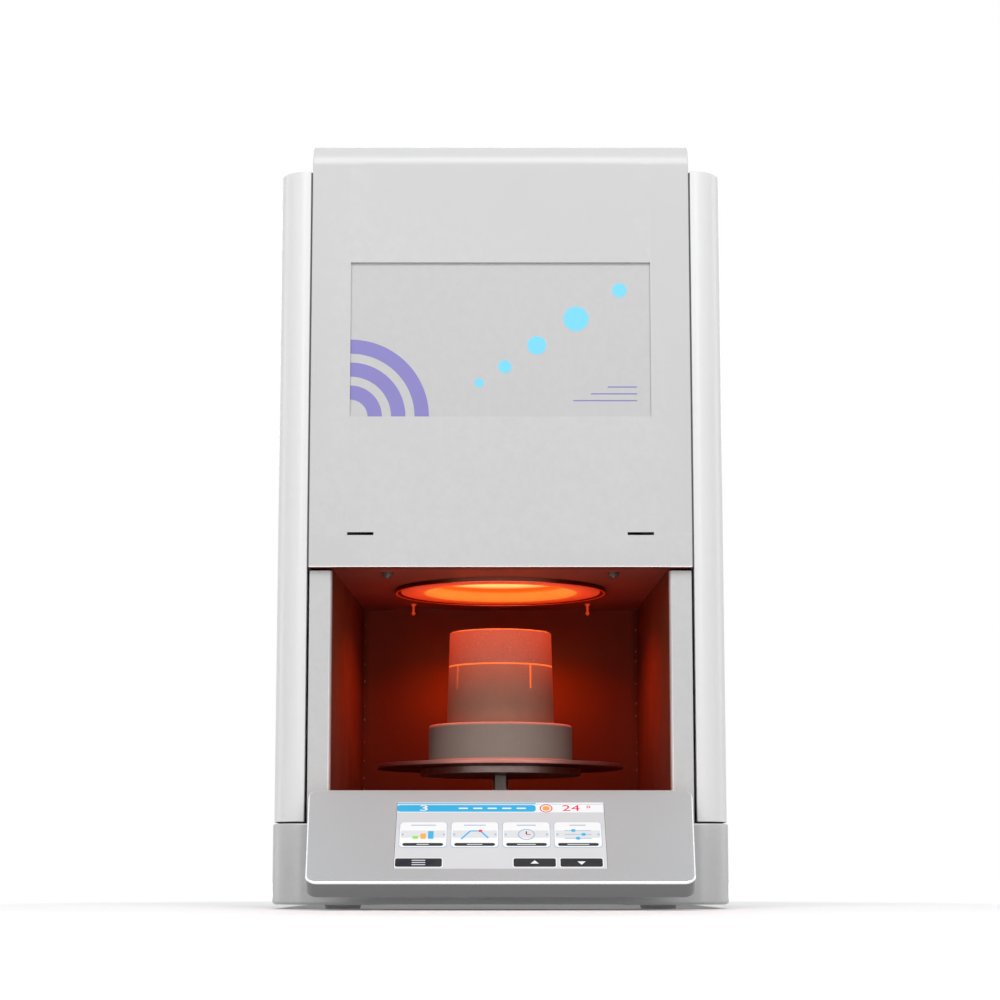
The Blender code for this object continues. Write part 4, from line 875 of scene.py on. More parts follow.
makeTopCover()

posts = {"sheet": 0.002, "edge": 0.0012, "innerEdge": 0.0019}


def makePost(name):
    low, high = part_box(name)
    shape = boxShape(low, high)
    inner, outer = (low.x, high.x) if low.x > 0 else (high.x, low.x)
    inFront = lambda p: p.y < low.y + tiny
    roundWhere(shape, lambda p: inFront(p) and abs(p.x - outer) < tiny, posts["edge"])
    roundWhere(shape, lambda p: inFront(p) and abs(p.x - inner) < tiny, posts["innerEdge"], 1)
    roundWhere(shape, lambda p: inFront(p) and p.z > high.z - tiny, posts["innerEdge"], 1)
    dropFaces(shape, lambda face: face.normal.y > flat or abs(face.normal.z) > flat)
    # painted highlight: a white finish on the inner and top front edges
    onEdge = lambda face: face.normal.y < -0.5 and (
        face.normal.x * low.x < -abs(low.x) / 2 or face.normal.z > 0.5)
    finishNode(shape, name, "postGrey", name.replace("front_post", "frontPost"),
               sheet=posts["sheet"], trims=(("edgeWhite", onEdge),))


makePost("front_post_left")
makePost("front_post_right")

recess = {"edge": 0.0006}
gapShadeStrip = {"depth": 0.0026, "thickness": 0.0015, "edge": 0.0003}


def makeRecess():
    shape = boxShape(*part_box("recess_panel"))
    roundOff(shape, shape.edges, recess["edge"], 2)
    finishNode(shape, "recess_panel", "recessGrey")


def makeGapShadeStrips():
    # painted shade: dark strips set into the joints between the front cover and the side covers
    low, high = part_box("front_cover")
    sideLow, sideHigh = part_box("side_cover_right")
    strips = []
    for side in (-1, 1):
        left, right = sorted((side * high.x, side * min(abs(sideLow.x), abs(sideHigh.x))))
        front = low.y + gapShadeStrip["depth"]
        strip = boxShape((left, front, low.z), (right, front + gapShadeStrip["thickness"],
                                                sideHigh.z - sideCover["topEdge"]))
        roundOff(strip, uprightEdges(strip), gapShadeStrip["edge"], 2)
        strips.append(strip)
    finishPiece(mergeShapes(strips), "gapStrips", "gapShade")


makeRecess()
makeGapShadeStrips()
print("casing made")


# Printed design of the recess: arcs, dots and lines

printing = {"depth": 0.00012, "arcSteps": 28, "arcCentre": (-0.141, 0.455), "arcWidth": 0.0135,
            "arcRadii": (0.030, 0.052, 0.074), "dotSides": 32,
            "dots": ((-0.020, 0.4875, 0.0042), (0.004, 0.503, 0.0062), (0.034, 0.5235, 0.0088),
                     (0.071, 0.549, 0.0118), (0.112, 0.5765, 0.0068)),
            "lineLength": 0.060, "lineHeight": 0.0011, "lineEnd": 0.128, "lineBottom": 0.470,
            "linePitch": 0.0065, "lineShares": (1.0, 0.72, 0.46)}


def sectorShape(inner, outer, axis, sweep, steps, whole=False):
    shape = bmesh.new()
    verts = [shape.verts.new((radius, 0.0, 0.0)) for radius in (inner, outer)]
    edge = shape.edges.new(verts)
    bmesh.ops.spin(shape, geom=verts + [edge], cent=(0.0, 0.0, 0.0), axis=axis, angle=sweep,
                   steps=steps, use_merge=whole)
    return shape


def circleShape(radius, sides):
    shape = bmesh.new()
    bmesh.ops.create_circle(shape, cap_ends=True, segments=sides, radius=radius)
    return shape


def makePrinting():
    # flat shapes drawn in X and Z get their thickness towards the user
    plateY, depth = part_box("recess_panel")[0].y, printing["depth"]
    centreX, centreZ = printing["arcCentre"]
    arcs, dots, lines = [], [], []
    for radius in printing["arcRadii"]:
        arc = sectorShape(radius - printing["arcWidth"], radius, (0.0, -1.0, 0.0), math.pi / 2,
                          printing["arcSteps"])
        arcs.append(moveTo(arc, centreX, plateY, centreZ))
    for x, z, radius in printing["dots"]:
        dot = moveShape(circleShape(radius, printing["dotSides"]),
                        Matrix.Rotation(math.pi / 2, 4, "X"))
        dots.append(moveTo(dot, x, plateY, z))
    for flatShape in arcs + dots:
        pullFaces(flatShape, (0.0, -depth, 0.0))
    right = printing["lineEnd"]
    for index, share in enumerate(printing["lineShares"]):
        bottom = printing["lineBottom"] + index * printing["linePitch"]
        lines.append(boxShape((right - printing["lineLength"] * share, plateY - depth, bottom),
                              (right, plateY, bottom + printing["lineHeight"])))
    for shapes, name, ink in ((arcs, "printedArcs", "artViolet"), (dots, "printedDots", "artCyan"),
                              (lines, "printedLines", "artViolet")):
        finishPiece(mergeShapes(shapes), name, ink, weighted=False)


makePrinting()


# Furnace mouth and chamber

mouth = {"steps": 128, "innerRound": 0.0035, "outerRound": 0.0012, "ringRadius": 0.1003,
         "boreRadius": 0.073, "shelfGap": 0.0003, "collarInner": 0.1035, "collarOuter": 0.1055,
         "collarEdge": 0.0005, "sheet": 0.0015, "chamberRadius": 0.0760, "margin": 0.0005}


def makeMouth():
    low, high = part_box("mouth_ring")
    collarLow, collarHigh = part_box("mouth_collar")
    outer, ring, bore = high.x, mouth["ringRadius"], mouth["boreRadius"]
    shelf = collarHigh.z + mouth["shelfGap"]
    shape = turnedShape([(outer, high.z), (outer, shelf), (ring, shelf), (ring, low.z),
                         (bore, low.z), (bore, high.z)], mouth["steps"])
    atFoot = lambda p: p.z < low.z + tiny
    roundWhere(shape, lambda p: atFoot(p) and math.hypot(p.x, p.y) < bore + mouth["margin"],
               mouth["innerRound"], 5)
    roundWhere(shape, lambda p: atFoot(p) and math.hypot(p.x, p.y) > ring - mouth["margin"],
               mouth["outerRound"])
    finishNode(moveShape(shape, furnaceAxis), "mouth_ring", "hotRefractory")

    top, foot = collarHigh.z, collarLow.z
    seat = top - mouth["sheet"]
    shape = turnedShape([(collarHigh.x, top), (collarHigh.x, seat), (mouth["collarOuter"], seat),
                         (mouth["collarOuter"], foot), (mouth["collarInner"], foot),
                         (mouth["collarInner"], top)], mouth["steps"])
    roundSharp(shape, lambda p: p.z < foot + tiny, mouth["collarEdge"])
    # painted highlight: the collar's lower rim is orange and glows as if lit by the mouth
    onRim = lambda face: face.calc_center_median().z < foot + mouth["collarEdge"] * 1.01
    finishNode(moveShape(shape, furnaceAxis), "mouth_collar", "collarSteel",
               trims=(("collarRim", onRim),))

    low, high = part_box("chamber_wall")
    shape = pipeShape(high.x, mouth["chamberRadius"], high.z, low.z, mouth["steps"])
    finishNode(moveShape(shape, furnaceAxis), "chamber_wall", "hotRefractory")


makeMouth()


# Lift table and crucible

tableSteps = 128
tableParts = {   # finish, and the width and segments of the upper and the lower edge
    "furnace_plug": ("plugRefractory", (0.0022, 4), (0.0006, 2)),
    "tray_disc": ("heatedSteel", (0.0009, 3), (0.0009, 3)),
    "tray_hub": ("hubMetal", None, (0.0006, 3)),
}


def makeTablePart(node, finish, upper, lower):
    low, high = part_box(node)
    shape = rodShape(high.x, high.z, low.z, tableSteps)
    if upper:
        roundSharp(shape, lambda p: p.z > high.z - tiny, *upper)
    roundSharp(shape, lambda p: p.z < low.z + tiny, *lower)
    finishNode(moveShape(shape, furnaceAxis), node, finish)


for partName, partValues in tableParts.items():
    makeTablePart(partName, *partValues)

crucible = {"steps": 144, "draft": 0.0027, "wall": 0.0055, "floor": 0.006, "edge": 0.0015,
            "rimEdge": 0.0006, "notchWidth": 0.0026, "notchDepth": 0.024,
            "notchTurns": (-55, 35, 125, 215), "notchZone": (0.8, 0.2), "lidRoof": 0.006,
            "gap": 0.0003, "margin": 0.002}


def cutNotch(shape, turn, radius, top):
    # the bowl is turned so that the notch faces +X, then opened and walled
    moveShape(shape, Matrix.Rotation(-turn, 4, "Z"))
    half, depth = crucible["notchWidth"] / 2, crucible["notchDepth"]
    near, aside = (radius * share for share in crucible["notchZone"])

    def onSide(face):
        middle = face.calc_center_median()
        return middle.x > near and abs(middle.y) < aside

    cutWindow(shape, onSide, (1, -half, half), (2, top - depth, top + depth))
    bmesh.ops.remove_doubles(shape, verts=shape.verts, dist=tiny)
    sides = [[], []]
    for edge in [edge for edge in shape.edges if len(edge.link_faces) == 1]:
        first, second = (Vector((math.hypot(*vert.co.xy), vert.co.z)) for vert in edge.verts)
        acrossRim = (max(first.y, second.y) > top - crucible["rimEdge"] * 0.9
                     and abs(first.y - second.y) < crucible["rimEdge"] * 1.01
                     and abs(first.x - second.x) > tiny * 10)
        if not acrossRim:
            sides[(first.x + second.x) / 2 > radius - crucible["wall"] / 2].append(edge)
    if all(sides):
        bmesh.ops.bridge_loops(shape, edges=sides[0] + sides[1])
    openEdges = [edge for edge in shape.edges if len(edge.link_faces) == 1]
    bmesh.ops.holes_fill(shape, edges=openEdges, sides=0)
    moveShape(shape, Matrix.Rotation(turn, 4, "Z"))


def makeCrucible():
    low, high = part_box("crucible_bowl")
    lidLow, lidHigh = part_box("crucible_lid")
    foot, floorZ = high.x, low.z + crucible["floor"]
    slope = crucible["draft"] / (lidHigh.z - low.z)
    rim = foot - slope * (high.z - low.z)
    bore = rim - crucible["wall"]
    shape = turnedShape([(0.0, floorZ), (bore, floorZ), (bore, high.z), (rim, high.z),
                         (foot, low.z), (0.0, low.z)], crucible["steps"], False)
    roundSharp(shape, lambda p: p.z < low.z + tiny, crucible["edge"])
    roundSharp(shape, lambda p: p.z > high.z - tiny, crucible["rimEdge"], 2)
    for turn in crucible["notchTurns"]:
        cutNotch(shape, math.radians(turn), rim, high.z)
    bmesh.ops.recalc_face_normals(shape, faces=shape.faces)
    finishNode(moveShape(shape, furnaceAxis), "crucible_bowl", "crucibleAlumina", weighted=False)

    seat = high.z + crucible["gap"]
    top = foot - slope * (lidHigh.z - low.z)
    base = foot - slope * (seat - low.z)
    spigot = bore - crucible["gap"]
    inner, roof = spigot - crucible["wall"], lidHigh.z - crucible["lidRoof"]
    shape = turnedShape([(0.0, lidHigh.z), (top, lidHigh.z), (base, seat), (spigot, seat),
                         (spigot, lidLow.z), (inner, lidLow.z), (inner, roof), (0.0, roof)],
                        crucible["steps"], False)
    roundSharp(shape, lambda p: p.z > lidHigh.z - tiny, crucible["edge"], 4)
    roundSharp(shape, lambda p: abs(p.z - seat) < tiny
               and math.hypot(p.x, p.y) > rim - crucible["margin"], crucible["rimEdge"], 2)
    finishNode(moveShape(shape, furnaceAxis), "crucible_lid", "crucibleAlumina", weighted=False)


makeCrucible()
print("furnace, table and crucible made")


# Control panel

panel = {"rise": 0.0837, "run": 0.102, "middle": (0.0, -0.229, 0.06585), "thickness": 0.017,
         "topHalf": 0.1747, "footHalf": 0.169, "corner": 0.010, "wall": 0.0025,
         "faceEdge": 0.0018, "backEdge": 0.0012, "rimNormals": (0.12, 0.97),
         "screenHalf": 0.0932, "screenLength": 0.0944, "screenOffset": 0.0003,
         "screenRecess": 0.0006, "screenDepth": 0.0036, "screenEdge": 0.0003, "gap": 0.0003}
panelPlace = Matrix.Translation(panel["middle"]) @ Matrix.Rotation(
    math.atan2(panel["rise"], panel["run"]), 4, "X")
screenLow = panel["screenOffset"] - panel["screenLength"] / 2
screenHigh = panel["screenOffset"] + panel["screenLength"] / 2


def makePanelShell():
    reach = math.hypot(panel["rise"], panel["run"]) / 2
    foot, top, gap = panel["footHalf"], panel["topHalf"], panel["gap"]
    shape = bmesh.new()
    shape.faces.new([shape.verts.new((x, y, 0.0)) for x, y in (
        (-foot, -reach), (foot, -reach), (top, reach), (-top, reach))])
    roundOff(shape, shape.verts, panel["corner"], 8, "VERTICES")
    pullFaces(shape, (0.0, 0.0, -panel["thickness"]))
    roundSharp(shape, lambda p: p.z > -tiny, panel["faceEdge"], 5)
    roundSharp(shape, lambda p: p.z < tiny - panel["thickness"], panel["backEdge"])
    dropFaces(shape, facing(2, -1))
    half = panel["screenHalf"] + gap
    cutWindow(shape, facing(2), (0, -half, half), (1, screenLow - gap, screenHigh + gap))
    shape.faces.index_update()
    # painted highlights on the rounded rims, white along the top and satin along the foot and
    # sides, and painted shade, a darker coat, on the lip below the face
    rims = {"edgeSatin": set(), "edgeWhite": set(), "panelShade": set()}
    low, high = panel["rimNormals"]
    for face in shape.faces:
        y = face.calc_center_median().y
        if low < face.normal.z < high:
            rims["edgeWhite" if y > reach - panel["corner"] else "edgeSatin"].add(face.index)
        elif face.normal.z <= low and y < panel["corner"] - reach:
            rims["panelShade"].add(face.index)
    finishNode(moveShape(shape, panelPlace), "panel_shell", "panelGrey", sheet=panel["wall"],
               trims=[(trim, lambda face, rim=rim: face.index in rim)
                      for trim, rim in rims.items()])


makePanelShell()


# Screen: glass with a lit picture of plain tiles, bars, arrows and numbers

screen = {"layer": 0.00006, "tileWidth": 0.0415, "tileHeight": 0.0350, "tilePitch": 0.0458,
          "tileMiddle": 0.0010, "tileCorner": 0.0035, "barHeight": 0.0041, "barWidth": 0.036,
          "headHeight": 0.0144, "headMiddle": 0.0400, "headBar": 0.0098, "headStripe": 0.0012,
          "headLine": 0.0006, "buttonHeight": 0.0116, "buttonMiddle": -0.0381, "rim": 0.0012,
          "figureScale": 1.4, "buttons": ((-0.77, 0.0410), (0.32, 0.0370), (0.76, 0.0370)),
          "curve": ((-0.012, -0.0065), (-0.004, 0.0050), (0.005, 0.0050), (0.012, -0.0050))}
inkLayers = {}


def addInk(ink, shape, x, y, layer):
    # flat shapes drawn across the screen's own X and Y, stacked in layers
    pullFaces(shape, (0.0, 0.0, screen["layer"]))
    moveTo(shape, x, y, layer * screen["layer"] - panel["screenRecess"])
    inkLayers.setdefault(ink, []).append(moveShape(shape, panelPlace))


def polygon(ink, points, layer, x=0.0, y=0.0, corner=0.0, segments=5):
    shape = bmesh.new()
    shape.faces.new([shape.verts.new((*point, 0.0)) for point in points])
    if corner:
        roundOff(shape, shape.verts, corner, segments, "VERTICES")
    addInk(ink, shape, x, y, layer)


def tile(ink, x, y, width, height, layer, corner=0.0, segments=5):
    right, top = width / 2, height / 2
    polygon(ink, ((-right, -top), (right, -top), (right, top), (-right, top)), layer, x, y,
            min(corner, min(right, top) * 0.98), segments)


def disc(ink, x, y, radius, layer, squash=1.0, sides=28):
    shape = circleShape(radius, sides)
    bmesh.ops.scale(shape, vec=(1.0, squash, 1.0), verts=shape.verts)
    addInk(ink, shape, x, y, layer)


def hoop(ink, x, y, inner, outer, layer, sides=32):
    shape = sectorShape(inner, outer, (0.0, 0.0, 1.0), 2 * math.pi, sides, True)
    bmesh.ops.remove_doubles(shape, verts=shape.verts, dist=tiny)
    addInk(ink, shape, x, y, layer)


def figures(ink, text, x, y, height, layer, stretch):
    curve = bpy.data.curves.new("figures", "FONT")
    curve.body = text
    curve.size = height * screen["figureScale"]
    curve.align_x = curve.align_y = "CENTER"
    curve.resolution_u = 3
    holder = bpy.data.objects.new("figures", curve)
    looks.objects.link(holder)
    graph = bpy.context.evaluated_depsgraph_get()
    mesh = bpy.data.meshes.new_from_object(holder.evaluated_get(graph))
    bpy.data.objects.remove(holder)
    shape = bmesh.new()
    shape.from_mesh(mesh)
    bpy.data.meshes.remove(mesh)
    bmesh.ops.remove_doubles(shape, verts=shape.verts, dist=tiny)
    bmesh.ops.scale(shape, vec=(stretch, 1.0, 1.0), verts=shape.verts)
    addInk(ink, shape, x, y, layer)


def arrow(ink, x, y, size, sign, layer):
    points = ((-size, -sign * size * 0.4), (size, -sign * size * 0.4), (0.0, sign * size * 0.8))
    polygon(ink, points[::sign], layer, x, y)


def drawHead(half):
    y, height, stripe = screen["headMiddle"], screen["headHeight"], screen["headStripe"]
    top, line = y + height / 2, screen["headLine"]
    tile("inkWhite", 0.0, y, half * 1.985, height, 0)
    tile("inkBlue", -half * 0.33, top - stripe, half * 1.34, stripe, 1)
    tile("inkSteel", 0.0, top - 2 * stripe, half * 1.98, line, 1)
    tile("inkSilver", 0.0, y - height / 2, half * 1.98, line, 1)
    y -= stripe
    tile("inkBlue", -half * 0.33, y, half * 1.34, screen["headBar"], 1, 0.003)
    figures("inkWhite", "3", -half * 0.74, y, 0.0080, 2, 1.7)
    for index in range(5):
        tile("inkWhite", -half * (0.36 - 0.14 * index), y, half * 0.09, 0.0018, 2, 0.0006, 2)
    hoop("inkRed", half * 0.44, y, 0.0048, 0.0058, 1)
    disc("inkOrange", half * 0.44, y, 0.0034, 1)
    figures("inkRed", "24", half * 0.68, y, 0.0086, 1, 1.4)
    hoop("inkRed", half * 0.85, y + 0.0022, 0.0010, 0.0018, 1, 16)


def drawTile(index, x, y):
    width, height, bar = screen["tileWidth"], screen["tileHeight"], screen["barWidth"]
    rim, corner, foot = screen["rim"], screen["tileCorner"], y - height * 0.40
    tile("inkSteel", x, y - rim / 2, width + rim, height + rim, 0, corner)
    tile("inkWhite", x, y, width, height, 1, corner)
    tile("inkSilver", x, y + height * 0.02, width * 0.96, height * 0.30, 2, 0.0010, 3)
    tile("inkBlack", x, foot, bar, screen["barHeight"], 2, 0.0020)
    tile("inkSilver", x, foot, bar * (0.30 + 0.08 * index), 0.0010, 3, 0.0004, 2)
    tile("inkSteel", x, y + height * 0.38, bar * (0.62 - 0.07 * index), 0.0014, 2, 0.0006, 2)
    for side in (-1, 1):
        disc("inkSteel", x + side * width * 0.44, y, 0.0011, 3, 1.5, 12)


def drawBars(x, y):
    for index, ink in enumerate(("inkGreen", "inkOrange", "inkBlue")):
        top = 0.004 + 0.0035 * index
        tile(ink, x + (index - 1) * 0.0068, y - 0.0062 + top / 2, 0.0050, top, 4, 0.0008, 3)


def drawHeatingCurve(x, y):
    points = [Vector(point) for point in screen["curve"]]
    for start, end in zip(points, points[1:]):
        lean = (end - start).normalized() * 0.0008
        side = Vector((lean.y, -lean.x))
        polygon("inkBlue", (start + side, end + side, end - side, start - side), 4, x, y)
    disc("inkRed", x + 0.005, y + 0.0050, 0.0018, 5)


def drawClock(x, y):
    hoop("inkSteel", x, y, 0.0064, 0.0078, 4)
    tile("inkBlack", x, y + 0.0022, 0.0011, 0.0046, 4, 0.0004, 2)
    tile("inkRed", x + 0.0018, y, 0.0040, 0.0011, 5, 0.0004, 2)


def drawSliders(x, y):
    for index, place in enumerate((-0.004, 0.005, 0.0)):
        rowY = y + 0.0055 - index * 0.0055
        tile("inkSteel", x, rowY, 0.024, 0.0012, 4, 0.0005, 2)
        disc("inkBlue", x + place, rowY, 0.0021, 5)


def drawButtons(half):
    y, height = screen["buttonMiddle"], screen["buttonHeight"]
    menu, up, down = (share for share, width in screen["buttons"])
    for share, width in screen["buttons"]:
        tile("inkWhite", half * share, y, width + 0.0016, height + 0.0016, 0, 0.0022)
        tile("inkBlack", half * share, y, width, height, 1, 0.0018)
    for row in (-1, 0, 1):
        tile("inkSilver", half * menu, y + row * 0.0030, 0.0120, 0.0011, 2, 0.0004, 2)
    arrow("inkWhite", half * up, y, 0.0036, 1, 2)
    arrow("inkWhite", half * down, y, 0.0036, -1, 2)


def makeScreen():
    half = panel["screenHalf"]
    shape = boxShape((-half, screenLow, -panel["screenDepth"]),
                     (half, screenHigh, -panel["screenRecess"]))
    roundOff(shape, shape.edges, panel["screenEdge"], 2)
    finishNode(moveShape(shape, panelPlace), "screen_glass", "inkGrey")
    drawHead(half)
    for index, draw in enumerate((drawBars, drawHeatingCurve, drawClock, drawSliders)):
        x = (index - 1.5) * screen["tilePitch"]
        drawTile(index, x, screen["tileMiddle"])
        draw(x, screen["tileMiddle"])
    drawButtons(half)
    for ink, shapes in inkLayers.items():
        finishPiece(mergeShapes(shapes), ink.replace("ink", "screen"), ink, weighted=False)


makeScreen()
print("control panel made")


# Compartment details

details = {"studs": ((-0.1075, -0.112), (0.1075, -0.112)), "studRadius": 0.0025,
           "studLength": 0.0052, "tipEdge": 0.0005, "steps": 20, "nutRadius": 0.0048,
           "nutHeight": 0.0032, "nutEdge": 0.0004, "washer": 0.0006, "washerRadius": 0.0060,
           "washerSteps": 24, "pins": ((-0.092, 0.150), (0.092, 0.150)), "pinSteps": 16,
           "pin": ((0.0, 0.0), (0.0013, 0.0), (0.0013, -0.0085), (0.0021, -0.0095),
                   (0.0021, -0.0110), (0.0, -0.0125)),
           "pinCollar": ((0.0, 0.0), (0.0030, 0.0), (0.0024, -0.0018), (0.0, -0.0018)),
           "weldX": 0.1458, "weldPitch": 0.019, "weldRadius": 0.0009,
           "weldStretch": (0.8, 0.45, 1.6), "weldSpread": (0.1, 0.9), "weldSizes": (0.45, 1.0)}


def makeCeilingHardware():
    studs, nuts, pins = [], [], []
    for x, y in details["studs"]:
        stud = rodShape(details["studRadius"], 0.0, -details["studLength"], details["steps"])
        roundSharp(stud, lambda p: p.z < -tiny, details["tipEdge"], 2)
        studs.append(moveTo(stud, x, y, ceilingZ))
        nut = circleShape(details["nutRadius"], 6)
        pullFaces(nut, (0.0, 0.0, -details["nutHeight"]))
        roundOff(nut, nut.edges, details["nutEdge"], 2)
        moveShape(nut, Matrix.Rotation(x * 9, 4, "Z"))   # each nut stops at its own turn
        nuts.append(moveTo(nut, x, y, ceilingZ - details["washer"]))
        washer = rodShape(details["washerRadius"], 0.0, -details["washer"],
                          details["washerSteps"])
        nuts.append(moveTo(washer, x, y, ceilingZ))
    for x, y in details["pins"]:
        pin = turnedShape(details["pin"], details["pinSteps"], False)
        roundSharp(pin, lambda p: p.z < -tiny, details["tipEdge"], 2)
        collar = turnedShape(details["pinCollar"], details["steps"], False)
        pins += [moveTo(shape, x, y, ceilingZ) for shape in (pin, collar)]
    for shapes, name, finish in ((studs, "ceilingStuds", "heatedZinc"),
                                 (nuts, "ceilingNuts", "heatedZinc"),
                                 (pins, "ceilingPins", "heatedPin")):
        finishPiece(mergeShapes(shapes), name, finish)


def makeWelds():
    low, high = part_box("compartment_wall_left")
    pitch, marks, chance = details["weldPitch"], [], random.Random(7)
    for side in (-1, 1):
        for index in range(int((high.z - low.z) / pitch)):
            z = low.z + pitch * (index + chance.uniform(*details["weldSpread"]))
            radius = details["weldRadius"] * chance.uniform(*details["weldSizes"])
            mark = bmesh.new()
            bmesh.ops.create_uvsphere(mark, u_segments=8, v_segments=5, radius=radius)
            bmesh.ops.scale(mark, vec=details["weldStretch"], verts=mark.verts)
            marks.append(moveTo(mark, side * details["weldX"], backY, z))
    finishPiece(mergeShapes(marks), "weldMarks", "weldMetal", weighted=False)


makeCeilingHardware()
makeWelds()


# Feet

feet = {"steps": 48, "upperTaper": 0.0008, "lowerTaper": 0.0012, "taper": 0.002, "edge": 0.0008,
        "grooveHeight": 0.0012, "grooveDepth": 0.0010}


def makeFoot(name):
    low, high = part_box(name)
    middle, radius = (low + high) / 2, (high.x - low.x) / 2
    groove, upper = feet["grooveHeight"] / 2, radius - feet["upperTaper"]
    shape = turnedShape([(0.0, high.z), (radius, high.z), (upper, middle.z + groove),
                         (upper - feet["grooveDepth"], middle.z),
                         (radius - feet["lowerTaper"], middle.z - groove),
                         (radius - feet["taper"], low.z), (0.0, low.z)], feet["steps"], False)
    roundOff(shape, sharpEdges(shape, 50), feet["edge"])
    finishNode(moveTo(shape, middle.x, middle.y, 0.0), name, "footRubber")


for footPlace in ("front_left", "front_right", "rear_left", "rear_right"):
    makeFoot("foot_" + footPlace)


# Lead screw with its thread

leadScrew = {"coreShare": 0.86, "lead": 0.008, "stepsPerTurn": 24, "ridgeWidth": 0.0042,
             "ridgeFlat": 0.55, "ridgeFoot": 0.97, "ridgeTop": 0.995, "sides": 24}


def makeLeadScrew():
    low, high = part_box("lead_screw")
    middle, radius = (low + high) / 2, (high.x - low.x) / 2
    core = radius * leadScrew["coreShare"]
    shaft = rodShape(core, high.z, low.z, leadScrew["sides"])
    half = leadScrew["ridgeWidth"] / 2
    start, crest = low.z + half, half * leadScrew["ridgeFlat"]
    turns = int((high.z - low.z - 2 * half) / leadScrew["lead"])
    foot, top = core * leadScrew["ridgeFoot"], radius * leadScrew["ridgeTop"]
    ridge = bmesh.new()
    verts = [ridge.verts.new((x, 0.0, z)) for x, z in (
        (foot, start - half), (top, start - crest), (top, start + crest), (foot, start + half))]
    face = ridge.faces.new(verts)
    bmesh.ops.spin(ridge, geom=verts + list(face.edges) + [face], cent=(0.0, 0.0, 0.0),
                   axis=(0.0, 0.0, 1.0), angle=turns * 2 * math.pi,
                   dvec=(0.0, 0.0, leadScrew["lead"] / leadScrew["stepsPerTurn"]),
                   steps=turns * leadScrew["stepsPerTurn"])
    bmesh.ops.recalc_face_normals(ridge, faces=ridge.faces)
    shape = moveTo(mergeShapes([shaft, ridge]), middle.x, middle.y, 0.0)
    finishNode(shape, "lead_screw", "screwSteel", weighted=False)


makeLeadScrew()


# Screws of the rear cover

screws = {"radius": 0.0036, "height": 0.0016, "dome": ((0.0, 1.0), (0.55, 0.92), (0.88, 0.55),
          (1.0, 0.0), (0.0, 0.0)), "steps": 20, "crossLength": 0.0040, "crossWidth": 0.0009,
          "proud": 0.00003, "insetX": 0.012, "rows": (0.10, 0.29, 0.48, 0.67)}


def makeScrews():
    low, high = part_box("rear_cover")
    radius, height = screws["radius"], screws["height"]
    length, width = screws["crossLength"] / 2, screws["crossWidth"] / 2
    heads, crosses = [], []
    for x in (low.x + screws["insetX"], high.x - screws["insetX"]):
        for z in screws["rows"]:
            place = Matrix.Translation((x, high.y, z)) @ Matrix.Rotation(-math.pi / 2, 4, "X")
            dome = [(radius * out, height * up) for out, up in screws["dome"]]
            heads.append(moveShape(turnedShape(dome, screws["steps"], False), place))
            for turn in (0.0, math.pi / 2):
                bar = boxShape((-length, -width, height * 0.6),
                               (length, width, height + screws["proud"]))
                spin = Matrix.Rotation(turn + x * 20 + z * 30, 4, "Z")   # no two screws alike
                crosses.append(moveShape(bar, place @ spin))
    finishPiece(mergeShapes(heads), "rearScrews", "zincPlate")
    finishPiece(mergeShapes(crosses), "rearScrewCrosses", "blackPlastic", weighted=False)


makeScrews()


# Marks of the mains switch

switchMarks = {"lineWidth": 0.0009, "lineLength": 0.0042, "ringInner": 0.0014,
               "ringOuter": 0.0022, "depth": 0.00015, "offset": 0.0058}


def makeSwitchMarks():
    low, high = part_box("switch_rocker")
    middle, depth = (low + high) / 2, switchMarks["depth"]
    rocker = frame["nodes"]["switch_rocker"].data
    marks = []
    for side in (1, -1):
        faces = [face for face in rocker.polygons
                 if face.normal.y > 0.5 and (face.center.z > middle.z) == (side > 0)]
        normal = sum((face.normal * face.area for face in faces), Vector()).normalized()
        z = middle.z + switchMarks["offset"] * side
        y = faces[0].center.y - normal.z * (z - faces[0].center.z) / normal.y
        turn = Vector((0.0, 0.0, 1.0)).rotation_difference(normal).to_matrix().to_4x4()
        if side > 0:
            width, length = switchMarks["lineWidth"] / 2, switchMarks["lineLength"] / 2
            mark = boxShape((-width, -length, 0.0), (width, length, depth))
        else:
            mark = pipeShape(switchMarks["ringOuter"], switchMarks["ringInner"], depth, 0.0, 28)
        marks.append(moveShape(mark, Matrix.Translation((middle.x, y, z)) @ turn))
    finishPiece(mergeShapes(marks), "switchMarks", "markWhite", "rocker", weighted=False)


makeSwitchMarks()


# Every other CAD node is shown as a merged copy with smooth shading and its own finish

nodeFinishes = {
    "rear_cover": "doorGrey", "base_plate": "zincPlate", "lift_arm": "armSteel",
    "guide_rod_left": "screwSteel", "guide_rod_right": "screwSteel", "motor_shaft": "screwSteel",
    "fan_guard": "darkSteel", "chamber_roof": "hotRefractory", "thermocouple": "carrierCeramic",
    "relay_heat_sink": "machinedMetal",
}
softEdges = {
    "rear_cover": 0.0004, "fan_frame": 0.0006, "power_inlet": 0.0005, "switch_frame": 0.0004,
    "lift_carriage": 0.0005, "lower_bearing_block": 0.0005, "upper_bearing_block": 0.0005,
}
dressing = {"mergeAngle": 0.3, "smoothAngle": 32}   # in degrees


def dressNode(name):
    shape = bmesh.new()
    shape.from_mesh(frame["nodes"][name].data)
    bmesh.ops.remove_doubles(shape, verts=shape.verts, dist=tiny * 5)
    bmesh.ops.dissolve_limit(shape, angle_limit=math.radians(dressing["mergeAngle"]),
                             verts=shape.verts, edges=shape.edges)
    finish = nodeFinishes.get(name, slotFinishes[nodeSlots[name]])
    finishNode(shape, name, finish, angle=dressing["smoothAngle"], edge=softEdges.get(name, 0.0))


